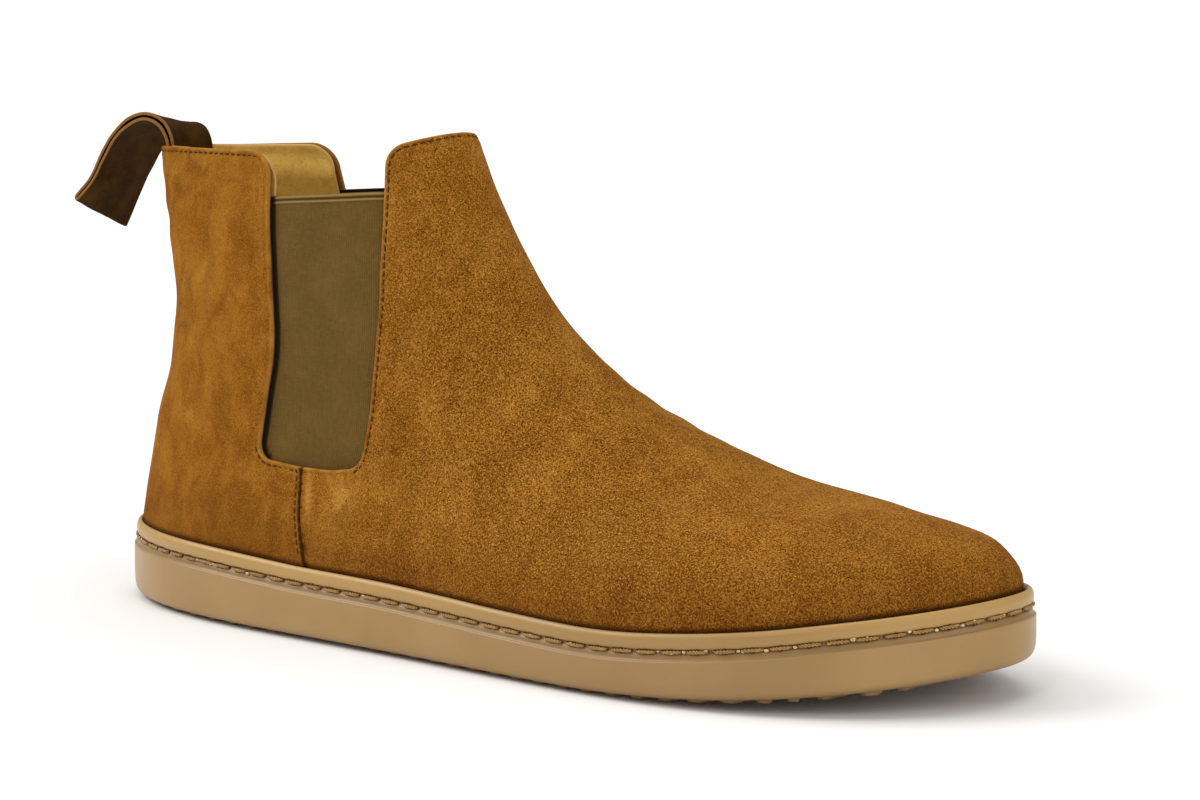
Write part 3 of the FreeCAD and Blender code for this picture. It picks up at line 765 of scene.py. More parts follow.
def tab_leather():
    look = Look("tab_leather", 0.8, 0.05)
    grain = look.noise(0.7, 3.0, 0.65)
    look.base = look.ramp(look.noise(9.0), (0.3, 44, 26, 3), (0.7, 74, 49, 12))
    look.tint(look.ramp(grain, (0.3, 0.5), (0.5, 0.0)), 28, 16, 3)
    look.tint(look.between(look.stored("rim"), 0.34, 0.08), 140, 100, 54)
    look.relief(grain, 0.10, 0.8)
    return look.finish()


def plain_sheet(name, light, dark, size):
    """Board, foam and pressed fibre."""
    look = Look(name, 0.85, 0.2)
    flecks = look.noise(size, 4.0, 0.7)
    clouds = look.noise(size * 12, 2.0, 0.5)
    look.base = look.mix(0.35, look.ramp(flecks, (0.32, *dark), (0.6, *light)),
                         look.ramp(clouds, (0.3, *dark), (0.7, *light)))
    look.relief(flecks, 0.12, 0.7)
    return look.finish()


SUEDE = suede()
ELASTIC = elastic()
LINING_LEATHER = lining_leather()
RUBBER = rubber()
GLUE = glue()
SOLE_THREAD = thread("sole_thread", (186, 144, 84), (120, 80, 34), 0.5, 0.25)
UPPER_THREAD = thread("upper_thread", (92, 52, 12), (48, 24, 5), 0.85, 0.0)
TAB_LEATHER = tab_leather()
STIFFENER = plain_sheet("stiffener", (206, 196, 176), (176, 164, 142), 0.7)
BOARD = plain_sheet("board", (168, 138, 98), (120, 92, 58), 0.9)
FOAM = plain_sheet("foam", (232, 222, 198), (204, 190, 162), 0.6)


# ---------------------------------------------------------------- the upper
def level_line(start, end, level, count=200):
    angles = np.linspace(start, end, count)
    return np.stack([angles, np.full(count, level)], axis=1)


def seam_distance(patch, lines):
    """Distance in mm from every point of a patch to lines of (angle, level)."""
    points = np.vstack([skin(*line.T)[0] for line in lines])
    return nearest(tree_of(points), patch.points)


def seam_part(line, inner_side):
    """The side seam alone, as (angle, level), from one of the side-view lines."""
    below = line[line[:, 1] < WINDOW_LOW - 0.5]
    return on_skin(below, inner_side, LEATHER_LOW)[::10]


def quarter(name, inner_side):
    line = quarter_line(*COLLAR_AT[inner_side])
    edge = on_skin(line, inner_side, LEATHER_LOW)
    back = BACK_GAP if inner_side else TURN - BACK_GAP
    edge = np.vstack([[back, edge[0, 1]], edge])
    bottom = level_line(edge[-1, 0], back, LEATHER_LOW)
    seam = np.stack([np.full(200, back), np.linspace(LEATHER_LOW, edge[0, 1], 200)], axis=1)
    patch = Patch([(edge, True), (bottom, False), (seam, False)], 1.5)
    rise = seam_distance(patch, [seam_part(line, inner_side)])
    overlap = ease(rise, 12.0, 2.5)
    from_back = np.abs(patch.points[:, 1])
    closed = 0.75 * np.exp(-(from_back / 0.8) ** 2) + 0.22 * bump(from_back, 0.0, 6.0) * -1.0
    low = ease(patch.places[:, 1], 15.0, 24.0)
    flare = 0.45 * ease(patch.edge, 5.0, 0.0) * ease(patch.points[:, 0], 52.0, 66.0) * (
        ease(patch.points[:, 2], WINDOW_LOW, WINDOW_LOW + 12.0))
    outer = stitched_edge(patch.edge) * low + closed * low - PLY_RISE * overlap * low - flare
    inner = LEATHER - rounding(patch.edge, 0.35) - 0.95 * overlap - flare
    # The seam value is painted shade along the side seam.
    patch.solid("quarter_suede_" + name, SUEDE, outer, inner, "suede", "quarter_" + name,
                values={"seam": 0.9 * bump(rise, 0.0, 0.8)})
    return patch


def vamp():
    halves = {}
    for inner_side in (True, False):
        edge = on_skin(vamp_line(-4.0), inner_side, LEATHER_LOW)
        halves[inner_side] = np.vstack([[math.pi, edge[0, 1]], edge])
    inner_edge, outer_edge = halves[True], halves[False]
    bottom = level_line(inner_edge[-1, 0], outer_edge[-1, 0], LEATHER_LOW, 400)
    patch = Patch([(inner_edge, True), (bottom, False), (outer_edge[::-1], True)], 1.9, front_scaled=True)
    tucked = seam_distance(patch, [seam_part(vamp_line(0.0), side) for side in (True, False)])
    behind = side_of_seam(patch)
    low = ease(patch.places[:, 1], 15.0, 24.0)
    sewn = stitched_edge(patch.edge) * (1 - behind)
    pressed = 0.18 * bump(tucked, 0.0, 3.0)
    outer = (sewn + pressed) * low + 0.10 * behind
    inner = LEATHER - rounding(patch.edge, 0.35)
    below = ease(patch.points[:, 2], WINDOW_LOW - 8.0, 24.0)
    # Painted shade along the side seam, wider low down, and a painted highlight (negative values) on the
    # pillowed strip in front of it.
    shade = bump(tucked, 0.0, 0.9) + 0.9 * below * bump(tucked, 0.0, 1.8)
    pillow = bump(tucked, 2.9, 1.9) * bump(patch.points[:, 2], 41.0, 11.0) * (1 - behind)
    shade = np.where(shade > 0.05, shade, -pillow)
    patch.solid("vamp_suede", SUEDE, outer, inner, "suede", "vamp",
                values={"seam": np.clip(shade, -1.0, 1.0)})
    return patch


def side_of_seam(patch):
    """1 for the strip of the vamp that lies under the quarter, 0 in front of the seam."""
    line = rounded(side_seam(0.0))
    order = np.argsort(line[:, 1])
    seam_x = np.interp(patch.points[:, 2], line[order, 1], line[order, 0])
    return ease(patch.points[:, 0] - seam_x, 0.4, -0.8) * (patch.points[:, 2] < WINDOW_LOW + 1.0)


def gusset(name, inner_side):
    """Elastic panel with fine upright ribs and a folded, double-sewn top edge."""
    shift = COLLAR_AT[inner_side][0]
    rows, columns = 64, 330
    height = np.linspace(0.0, 1.0, rows)
    height = np.concatenate([height[:-8] * 0.965 / height[-9], np.linspace(0.965, 1.0, 15)[1:]])
    rows = len(height)
    width = np.linspace(0.0, 1.0, columns)
    v, w = np.meshgrid(height, width, indexing="ij")
    z = PANEL_LOW + v * (PANEL_TOP_BACK + (PANEL_TOP_FRONT - PANEL_TOP_BACK) * w - PANEL_LOW)
    levels = (43.0, 58.0, 82.0, 119.0, 130.0)
    backs = (64.5, 68.5, 69.2 + shift * 0.4, 61.6 + shift, 59.6 + shift)
    fronts = (115.4, 118.3, 118.4, 115.6, 114.4)
    heights = np.linspace(43.0, 130.0, 120)
    back = np.interp(z, heights, [smooth(levels, backs, h) for h in heights])
    front = np.interp(z, heights, [smooth(levels, fronts, h) for h in heights])
    x = back + (front - back) * w
    places = from_side(x.ravel(), z.ravel(), inner_side)
    points, normals = skin(*places.T)
    x, z, w = x.ravel(), z.ravel(), w.ravel()
    from_top = (PANEL_TOP_BACK + (PANEL_TOP_FRONT - PANEL_TOP_BACK) * w) - z
    ribs = 0.055 * np.cos(w * TURN * PANEL_RIBS) * (from_top > 2.3)
    hem = bump(from_top, 0.55, 0.62) + bump(from_top, 2.05, 0.5) - bump(from_top, 1.32, 0.42)
    raised = 0.22 * ease(from_top, 2.7, 2.3) + 0.12 * hem
    slack = 0.35 * ease(x - back.ravel(), 12.0, 5.0)
    outer = ELASTIC_DEPTH + 0.1 + slack - ribs - raised + rounding(from_top, 0.3)
    inner = ELASTIC_DEPTH + 1.15 + slack
    count = len(points)
    top = points - normals * outer[:, None]
    bottom = points - normals * inner[:, None]
    leather = on_skin(quarter_line(*COLLAR_AT[inner_side]), inner_side, LEATHER_LOW)
    behind = skin(*leather.T)[0]
    behind = behind[behind[:, 2] > WINDOW_LOW + 1.5]
    shade = 0.9 * ease(nearest(tree_of(behind), points), 1.5, 0.7)
    values = {"hem": np.concatenate([hem, hem * 0.3]), "inside": np.repeat([0.0, 1.0], count),
              "shade": np.concatenate([shade, shade])}
    piece = make_piece("gusset_elastic_" + name, np.vstack([top, bottom]),
                       sheet_faces(rows, columns, flip=not inner_side), ELASTIC, values)
    return belongs(piece, "elastic", "gusset_" + name)


def lining_depth(patch):
    """The lining lies on the leather at the collar and behind the elastic's border lower down."""
    return LEATHER + 0.06 + (LINING_DEPTH - LEATHER) * ease(patch.points[:, 2], 137.5, 131.0)


def lining(patch, name, node):
    depth = lining_depth(patch)
    patch.solid(name, LINING_LEATHER, depth + rounding(patch.edge, 0.25),
                depth + LINING - rounding(patch.edge, 0.3), "lining_leather", node)


def quarter_lining():
    edges = {}
    for inner_side in (True, False):
        shift, top = COLLAR_AT[inner_side]
        line = on_skin(quarter_line(shift - 0.5, top - 0.35), inner_side, LEATHER_LOW + 2)
        start = 0.0 if inner_side else TURN
        edges[inner_side] = np.vstack([[start, line[0, 1]], line])
    outer_edge = edges[False] - np.array([TURN, 0.0])
    bottom = level_line(outer_edge[-1, 0], edges[True][-1, 0], LEATHER_LOW + 2)
    patch = Patch([(edges[True][::-1], True), (outer_edge, True), (bottom, False)], 1.9)
    lining(patch, "quarter_lining_leather", "quarter_lining")


def vamp_lining():
    halves = {}
    for inner_side in (True, False):
        line = vamp_line(0.2)
        line = line + np.array([0.5, 0.0]) - np.array([0.0, 0.35]) * (line[:, 1:] > 120.0)
        edge = on_skin(line, inner_side, LEATHER_LOW + 2)
        halves[inner_side] = np.vstack([[math.pi, edge[0, 1]], edge])
    bottom = level_line(halves[True][-1, 0], halves[False][-1, 0], LEATHER_LOW + 2, 400)
    runs = [(halves[True], True), (bottom, False), (halves[False][::-1], True)]
    patch = Patch(runs, 2.6, front_scaled=True)
    lining(patch, "vamp_lining_leather", "vamp_lining")


# ---------------------------------------------------------------- stitches
EDGE_STITCH_PITCH = 2.45
EDGE_STITCH_LENGTH = 1.75
EDGE_STITCH_THICK = 0.27
SOLE_STITCHES = 92
SOLE_STITCH_HALF = 3.05
SOLE_TWISTS = 3.2            # half turns of the two plies on each side of a stitch's middle


def tube(centres, ups, sides, radius, around):
    """Points and faces of a closed tube along centres."""
    turn = np.arange(around) * TURN / around
    rings = []
    for centre, up, side, thick in zip(centres, ups, sides, radius):
        rings.append(centre + thick * (np.cos(turn)[:, None] * side + np.sin(turn)[:, None] * up))
    points = np.vstack(rings)
    faces = grid_faces(len(centres), around, wrap_columns=True)
    faces.append(tuple(range(around))[::-1])
    faces.append(tuple(range((len(centres) - 1) * around, len(centres) * around)))
    return points, faces


class Heap:
    """Many small closed shapes collected into one piece."""

    def __init__(self):
        self.points, self.faces, self.ends = [], [], []
        self.count = 0

    def add(self, points, faces, ends):
        self.points.append(points)
        self.ends.append(ends)
        self.faces += [tuple(i + self.count for i in f) for f in faces]
        self.count += len(points)

    def piece(self, name, material, values=None):
        values = values or {"end": np.concatenate(self.ends)}
        return make_piece(name, np.vstack(self.points), self.faces, material, values)


def sewn_row(heap, line, normals, sink=0.10):
    """Short stitches along a line of points on the leather's face."""
    run = run_of(line)
    first, last = EDGE_STITCH_PITCH * 0.6, run[-1] - EDGE_STITCH_PITCH * 0.5
    shares = np.array([-1.0, -0.86, -0.6, -0.25, 0.25, 0.6, 0.86, 1.0])
    swell = np.array([0.45, 0.8, 0.98, 1.0, 1.0, 0.98, 0.8, 0.45])
    for middle in np.arange(first, last, EDGE_STITCH_PITCH):
        at = middle + shares * EDGE_STITCH_LENGTH / 2
        centres = sampled(at, run, line)
        ups = unit(sampled(at, run, normals))
        along = unit(np.gradient(centres, axis=0))
        sides = unit(np.cross(along, ups))
        centres = centres - ups * (sink + 0.20 * shares ** 4)[:, None]
        points, faces = tube(centres, ups, sides, swell * EDGE_STITCH_THICK, 6)
        # Ends: how much painted hole shade each ring takes.
        heap.add(points, faces, np.repeat(np.abs(shares) ** 3, 6))


def over_the_vamp(points):
    """How far the quarter's edge is lifted where it lies on the vamp."""
    return PLY_RISE * (points[:, 2] < WINDOW_LOW) * ease(points[:, 0], 80.0, 86.0)


def beside_window(points):
    return (points[:, 2] > WINDOW_LOW) & (points[:, 0] > SEAM_TOP + 1.0)


def beside_outer_window(points):
    return beside_window(points) & (points[:, 1] < 0)


def beside_inner_window(points):
    return beside_window(points) & (points[:, 1] > 0)


def edge_stitches(patch, name, node, lifted=None, keep=None):
    """A row of stitches along a patch's free edges."""
    heap = Heap()
    line = patch.offset_line(STITCH_FROM_EDGE)
    points, normals = skin(*line.T)
    good = patch.free & (points[:, 2] > RIM + wall_rise(points[:, 0]) + 1.5)
    if keep is not None:
        good &= keep(points)
    if lifted is not None:
        points = points + normals * lifted(points)[:, None]
    for start in np.flatnonzero(good & ~np.roll(good, 1)):
        order = (start + np.arange(len(good))) % len(good)
        chosen = order[:int(np.argmin(good[order]))]
        if len(chosen) > 8:
            sewn_row(heap, points[chosen], normals[chosen])
    return belongs(heap.piece(name, UPPER_THREAD), "upper_thread", node)


def sole_outline(count, inset=0.0):
    """Evenly spaced points of the sole's outline, with the angle and the inward direction of each."""
    fine = np.arange(7200) * TURN / 7200
    u, side = (1 - np.cos(fine)) / 2, np.sin(fine)
    half = np.where(side < 0, station_width(SOLE_OUTER, u), station_width(SOLE_INNER, u))
    points = np.stack([SOLE_LENGTH * u, side * half + TOE_SWING * u ** 4], axis=1)
    run = run_of(points, closed=True)
    at = np.arange(count) * run[-1] / count
    angle = np.interp(at, run, np.append(fine, TURN))
    wrapped = np.vstack([points, points[:1]])
    spots = sampled(at, run, wrapped)
    along = unit(np.roll(spots, -1, axis=0) - np.roll(spots, 1, axis=0))
    inward = np.stack([along[:, 1], -along[:, 0]], axis=1)
    return spots + inward * inset, angle, inward, along


def sole_stitches():
    """Two-ply waxed stitches lying under the rim band."""
    spots, _, inward, along = sole_outline(SOLE_STITCHES)
    heap = Heap()
    count = 23
    shares = np.linspace(-1.0, 1.0, count)
    for i in range(SOLE_STITCHES):
        jitter = noise.noise(Vector((i * 1.7, 3.1, 0.0)))
        length = SOLE_STITCH_HALF + 0.2 * jitter
        into = np.array([inward[i, 0], inward[i, 1], 0.0])
        x = spots[i, 0] + shares * length * along[i, 0]
        y = spots[i, 1] + shares * length * along[i, 1]
        z = CHANNEL + wall_rise(x) + lift(x) + 0.12 * jitter
        middle = np.stack([x, y, z], axis=1) + into * (0.95 + 0.75 * shares[:, None] ** 6)
        bow = 0.5 * (1 - shares ** 2)[:, None] * length ** 2 * 0.011
        middle = middle + into * bow
        slope = unit(np.gradient(middle, axis=0))
        up = unit(np.cross(np.tile(into, (count, 1)), slope))
        out = unit(np.cross(slope, up))
        for ply in (0.0, math.pi):
            turn = ply + shares * math.pi * SOLE_TWISTS
            offset = 0.21 * (np.cos(turn)[:, None] * up + np.sin(turn)[:, None] * out)
            swell = 0.33 * (1 - 0.45 * np.abs(shares) ** 5)
            points, faces = tube(middle + offset, up, out, swell, 7)
            # Ends: how much painted hole shade each ring takes.
            heap.add(points, faces, np.repeat(0.85 * np.abs(shares) ** 9, 7))
    return belongs(heap.piece("sole_stitches", SOLE_THREAD), "sole_thread", "sole_stitching")


def glue_beads():
    """Small glossy beads of dried glue that were squeezed out along the forefoot's stitches."""
    spots, _, inward, along = sole_outline(SOLE_STITCHES * 6)
    heap = Heap()
    for i in range(len(spots)):
        x = spots[i, 0]
        chance = noise.noise(Vector((i * 0.83, 7.7, 1.3)))
        if chance < 0.16 + 0.25 * float(ease(x, 215.0, 180.0)):
            continue
        size = 0.28 + 0.5 * (chance - 0.16)
        forward = np.array([along[i, 0], along[i, 1], 0.0])
        into = np.array([inward[i, 0], inward[i, 1], 0.0])
        height = CHANNEL + wall_rise(x) + lift(x) + 0.75 * noise.noise(Vector((i * 1.9, 0.4, 5.0)))
        middle = np.array([x, spots[i, 1], height]) + into * 1.05
        rings, columns = 7, 10
        polar = np.linspace(0.0, math.pi, rings)[:, None]
        turn = np.linspace(0.0, TURN, columns, endpoint=False)[None, :]
        lump = 1.0 + 0.25 * np.sin(turn * 3 + i) * np.sin(polar)
        points = (middle + (np.cos(polar) * np.ones_like(turn) * size * 1.5)[..., None] * forward
                  + (np.sin(polar) * np.cos(turn) * size * lump * 0.7)[..., None] * into
                  + (np.sin(polar) * np.sin(turn) * size * lump)[..., None] * np.array([0.0, 0.0, 1.0]))
        faces = grid_faces(rings, columns, wrap_columns=True)
        heap.add(points.reshape(-1, 3), faces, np.zeros(rings * columns))
    return belongs(heap.piece("sole_glue_beads", GLUE), "rubber")


# ---------------------------------------------------------------- cup sole
# Levels of the sole's outside: inset from the outline, height, share of the wall's extra height,
# and how much of it is rim band colour, painted shade of the recesses and painted shade of the underside.
SOLE_LEVELS = (
    (9.6, SOLE_BASE + 0.05, 0, 0, 0, 1), (6.0, SOLE_BASE, 0, 0, 0, 1), (4.4, SOLE_BASE, 0, 0, 0, 1),
    (3.3, SOLE_BASE + 0.05, 0, 0, 0, 0.9), (2.4, SOLE_BASE + 0.22, 0, 0, 0, 0.7),
    (1.7, SOLE_BASE + 0.52, 0, 0, 0, 0.5), (1.1, SOLE_BASE + 0.95, 0, 0, 0, 0.3),
    (0.65, SOLE_BASE + 1.5, 0, 0, 0, 0.15), (0.3, SOLE_BASE + 2.3, 0, 0, 0, 0),
    (0.1, SOLE_BASE + 3.3, 0.05, 0, 0, 0), (0.0, SOLE_BASE + 4.6, 0.2, 0, 0, 0),
    (-0.02, 7.2, 0.42, 0, 0, 0), (0.0, 8.8, 0.75, 0, 0, 0), (0.05, LEDGE - 1.1, 1, 0, 0, 0),
    (0.04, LEDGE - 0.55, 1, 0, 0, 0), (0.08, LEDGE - 0.25, 1, 0, 0, 0), (0.2, LEDGE - 0.06, 1, 0, 0, 0),
    (0.38, LEDGE + 0.05, 1, 0, 0.1, 0), (0.62, LEDGE + 0.18, 1, 0, 0.3, 0),
    (0.86, LEDGE + 0.5, 1, 0, 0.42, 0), (1.02, LEDGE + 1.0, 1, 0, 0.46, 0),
    (1.16, CHANNEL - 0.95, 1, 0, 0.5, 0), (1.42, CHANNEL - 0.62, 1, 0, 0.65, 0),
    (1.72, CHANNEL - 0.3, 1, 0, 0.9, 0), (1.85, CHANNEL + 0.05, 1, 0, 1, 0),
    (1.8, CHANNEL + 0.36, 1, 0, 1, 0), (1.5, CHANNEL + 0.58, 1, 0.5, 0.9, 0),
    (1.2, CHANNEL + 0.7, 1, 1, 0.5, 0), (1.02, CHANNEL + 0.95, 1, 1, 0.1, 0),
    (0.92, CHANNEL + 1.35, 1, 1, 0, 0), (0.84, CHANNEL + 1.9, 1, 1, 0, 0), (0.82, RIM - 2.35, 1, 1, 0, 0),
    (0.86, RIM - 1.8, 1, 1, 0, 0), (0.98, RIM - 1.25, 1, 1, 0, 0), (1.18, RIM - 0.78, 1, 1, 0, 0),
    (1.46, RIM - 0.38, 1, 1, 0, 0), (1.8, RIM - 0.1, 1, 1, 0, 0), (2.15, RIM, 1, 1, 0, 0),
    (2.5, RIM - 0.14, 1, 1, 0.3, 0), (2.75, RIM - 0.5, 1, 1, 0.8, 0),
)
SOLE_AROUND = 1760
SOLE_STRIPS = 25
# Depth below the rim of the rings inside it, and how much painted shade each takes in the gap between rim
# and upper.
RIM_INSIDE = ((0.9, 0.9), (2.2, 1.0), (5.0, 1.0), (9.2, 1.0))


def closing_face(ring, ring_start, middle_start, level, flip):
    """Points and faces that close one of the sole's rings with strips across it."""
    half = SOLE_AROUND // 2
    shares = np.linspace(0.0, 1.0, SOLE_STRIPS)[1:-1, None]
    middle, rows, faces = [], [], []
    for k in range(1, half):
        across = ring[k] * (1 - shares) + ring[SOLE_AROUND - k] * shares
        across[:, 2] = level + lift(across[:, 0])
        first = middle_start + len(middle)
        rows.append([ring_start + k, *range(first, first + len(shares)), ring_start + SOLE_AROUND - k])
        middle.extend(across)
    for upper, lower in zip(rows, rows[1:]):
        for j in range(SOLE_STRIPS - 1):
            faces.append((upper[j], upper[j + 1], lower[j + 1], lower[j]))
    for j in range(SOLE_STRIPS - 1):
        faces.append((ring_start, rows[0][j + 1], rows[0][j]))
    for j in range(SOLE_STRIPS - 1):
        faces.append((ring_start + half, rows[-1][j], rows[-1][j + 1]))
    return middle, faces if flip else [face[::-1] for face in faces]


def cup_sole():
    spots, angle, inward, _ = sole_outline(SOLE_AROUND)
    run = np.arange(SOLE_AROUND) * SOLE_STITCHES / SOLE_AROUND
    near_hole = bump((run + 0.5) % 1.0, 0.5, 0.085)
    rings, numbers = [], []
    for inset, height, share, band, recess_shade, under in SOLE_LEVELS:
        from_channel = abs(height - CHANNEL)
        hole = near_hole * (share == 1 and from_channel < 0.7)
        ripple = 0.05 * np.sin(run * TURN) * (share == 1 and 0.5 < from_channel < 1.4)
        x, y = (spots + inward * (inset + 0.55 * hole + ripple)[:, None]).T
        rings.append(np.stack([x, y, height + lift(x) + share * wall_rise(x)], axis=1))
        # Stitch holes take the painted recess shade as well as their dimple.
        numbers.append(np.stack([band + 0 * hole, np.maximum(recess_shade, hole), under + 0 * hole]))
    x = spots[:, 0] + inward[:, 0] * 2.9
    for below, recess_shade in RIM_INSIDE:
        points, normals = skin(angle, RIM - below + wall_rise(x) * (1.0 if below < 6 else 0.3))
        rings.append(points + normals * 0.08)
        numbers.append(np.stack([np.ones(SOLE_AROUND), np.full(SOLE_AROUND, recess_shade), np.zeros(SOLE_AROUND)]))
    points = np.vstack(rings)
    faces = [f[::-1] for f in grid_faces(len(rings), SOLE_AROUND, wrap_columns=True)]
    base, last = len(points), len(points) - SOLE_AROUND
    bottom, bottom_faces = closing_face(rings[0], 0, base, SOLE_BASE + 0.05, False)
    top, top_faces = closing_face(rings[-1], last, base + len(bottom), 7.0, True)
    points = np.vstack([points, bottom, top])
    under = np.repeat([1.0, 0.0], [len(bottom), len(top)])
    band, recess_shade, under = np.concatenate([*numbers, np.stack([0 * under, 0 * under, under])], axis=1)
    piece = make_piece("cup_sole_shell", points, faces + bottom_faces + top_faces, RUBBER,
                       {"band": band, "recess_shade": recess_shade, "under": under})
    return belongs(piece, "rubber", "cup_sole")


TREAD_PITCH = 8.0
TREAD_WIDTH = 4.4
TREAD_SPANS = ((14.0, 86.0), (118.0, 290.0))
TREAD_SECTION = ((-1.0, 0.5), (-0.98, -0.3), (-0.86, -0.85), (-0.7, -1.0), (0.7, -1.0),
                 (0.86, -0.85), (0.98, -0.3), (1.0, 0.5))


def tread():
    """Wavy cross bars under the heel and the forefoot, with chamfered feet."""
    outline, _, _, _ = sole_outline(1400, 3.5)
    upper_side, lower_side = outline[:700], outline[700:][::-1]
    heap = Heap()
    around = len(TREAD_SECTION)
    for start, end in TREAD_SPANS:
        for i in range(int((end - start) / TREAD_PITCH)):
            x = start + i * TREAD_PITCH + TREAD_WIDTH / 2
            high = np.interp(x, upper_side[:, 0], upper_side[:, 1])
            low = np.interp(x, lower_side[:, 0], lower_side[:, 1])
            count = max(12, int((high - low) / 1.2))
            y = np.linspace(low, high, count)
            wave = 1.5 * np.sin(y * TURN / 15.0)
            edge = np.minimum(y - low, high - y)
            half = TREAD_WIDTH / 2 - 0.9 * ease(edge, 2.0, 0.0)
            rows = []
            for offset, height in TREAD_SECTION:
                px = x + wave + offset * half
                pz = SOLE_BASE + height * np.where(edge < 0.4, 0.6, 1.0) + lift(px)
                rows.append(np.stack([px, y, pz], axis=1))
            points = np.array(rows).transpose(1, 0, 2).reshape(-1, 3)
            faces = grid_faces(count, around, wrap_columns=True)
            faces += [tuple(range(around))[::-1], tuple(range((count - 1) * around, count * around))]
            heap.add(points, faces, [])
    # The bars take the underside's painted shade and none of the recess shade.
    values = {"band": np.zeros(heap.count), "recess_shade": np.zeros(heap.count), "under": np.ones(heap.count)}
    return belongs(heap.piece("tread_bars", RUBBER, values), "rubber")


# ---------------------------------------------------------------- pull tab
TAB_WIDTH = 26.0
TAB_PLY = 1.05
TAB_APART = 0.78            # from the strap's middle surface to the middle of each ply
# The strap's outer and inner edges, from inside the collar, over the top and down to the fold.
TAB_OUTER_EDGE = ((16.9, 124.0), (16.8, 131.0), (16.6, 138.0), (16.1, 142.4), (14.2, 146.0), (10.6, 148.0),
                  (6.2, 148.2), (0.4, 146.0), (-5.4, 141.6), (-10.0, 135.6), (-15.0, 128.2), (-21.4, 122.4))
TAB_INNER_EDGE = ((16.9, 124.0), (16.8, 131.0), (16.4, 137.6), (15.2, 141.2), (12.6, 143.8), (8.6, 144.8),
                  (4.0, 144.4), (-2.2, 142.0), (-8.0, 137.6), (-12.8, 131.4), (-17.6, 124.2), (-24.0, 112.8))


def through_points(points, count):
    """Evenly spaced points of a smooth line through the given ones."""
    points = np.array(points, float)
    padded = np.vstack([2 * points[0] - points[1], points, 2 * points[-1] - points[-2]])
    dense = []
    for i in range(1, len(padded) - 2):
        before, start, end, after = padded[i - 1:i + 3]
        t = np.linspace(0.0, 1.0, 30)[:, None]
        bend = 2 * before - 5 * start + 4 * end - after
        dense.append(0.5 * (2 * start + (end - before) * t + bend * t ** 2
                            + (3 * start - before - 3 * end + after) * t ** 3))
    dense = np.vstack(dense)
    run = run_of(dense)
    at = np.linspace(0.0, run[-1], count)
    return sampled(at, run, dense)


def strap_surface(widths, rows):
    """The strap's middle surface: rows of points across it, curled at the root and flat lower down."""
    outer, inner = through_points(TAB_OUTER_EDGE, rows), through_points(TAB_INNER_EDGE, rows)
    along = unit(np.gradient((outer + inner) / 2, axis=0))
    forward = np.stack([along[:, 1], -along[:, 0]], axis=1)
    share = np.linspace(0.0, 1.0, rows)
    curl = 1.0 - ease(share, 0.16, 0.46)
    half = 12.3 - 2.7 * curl
    sag = 4.6 * curl + 0.7 * np.sin(share * 9.0) * (1 - curl)
    w = widths / (TAB_WIDTH / 2)
    surface = []
    for i in range(rows):
        line = outer[i] * (1 - w[:, None]) / 2 + inner[i] * (1 + w[:, None]) / 2
        line = line - forward[i] * (sag[i] * (1 - w * w))[:, None]
        surface.append(np.stack([line[:, 0], w * half[i], line[:, 1]], axis=1))
    return np.array(surface)


def pull_tab():
    """One strap, folded at its free end, both ends sewn inside the collar."""
    half = TAB_WIDTH / 2
    border = half - np.array([0.0, 0.07, 0.25, 0.5])
    widths = np.concatenate([-border, np.linspace(1 - half, half - 1, 41), border[::-1]])
    edge = half - np.abs(widths)
    surface = strap_surface(widths, 130)
    normals = unit(np.cross(np.gradient(surface, axis=1), np.gradient(surface, axis=0)))
    down = unit(surface[-1] - surface[-2])
    middle = list(surface + normals * TAB_APART)
    facing = list(normals)
    for turn in np.linspace(0.0, math.pi, 12)[1:-1]:
        direction = np.cos(turn) * normals[-1] + np.sin(turn) * down
        middle.append(surface[-1] + direction * TAB_APART)
        facing.append(direction)
    middle += list((surface - normals * TAB_APART)[::-1])
    facing += list(-normals[::-1])
    middle, facing = np.array(middle), np.array(facing)
    waves = np.array([[noise.noise(Vector(p) / 7.0) for p in row] for row in middle])
    middle = middle + facing * (0.25 * waves)[..., None]
    thick = (TAB_PLY / 2 - rounding(edge, 0.4) * 0.9)[None, :, None]
    outer, inner = middle + facing * thick, middle - facing * thick
    rows, columns = outer.shape[:2]
    rim = np.tile(edge, rows)
    piece = make_piece("pull_tab_strap", np.vstack([outer.reshape(-1, 3), inner.reshape(-1, 3)]),
                       sheet_faces(rows, columns), TAB_LEATHER, {"rim": np.concatenate([rim, rim])})
    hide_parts("pull_tab", "pull_tab_root")
    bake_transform(piece)
    tab_stitches(middle, facing)


def tab_stitches(middle, facing):
    """Two rows across the strap, where it is sewn inside the collar."""
    heap = Heap()
    centre = middle.shape[1] // 2
    for height in (127.0, 135.5):
        away = np.abs(middle[:, centre, 2] - height)
        root = len(middle) // 8
        for row in (int(np.argmin(away[:root])), len(middle) - root + int(np.argmin(away[-root:]))):
            line, normals = middle[row, 6:-6], facing[row, 6:-6]
            sewn_row(heap, line + normals * (TAB_PLY / 2 + 0.12), normals, sink=0.0)
    return belongs(heap.piece("pull_tab_stitches", UPPER_THREAD), "upper_thread", "pull_tab_stitching")


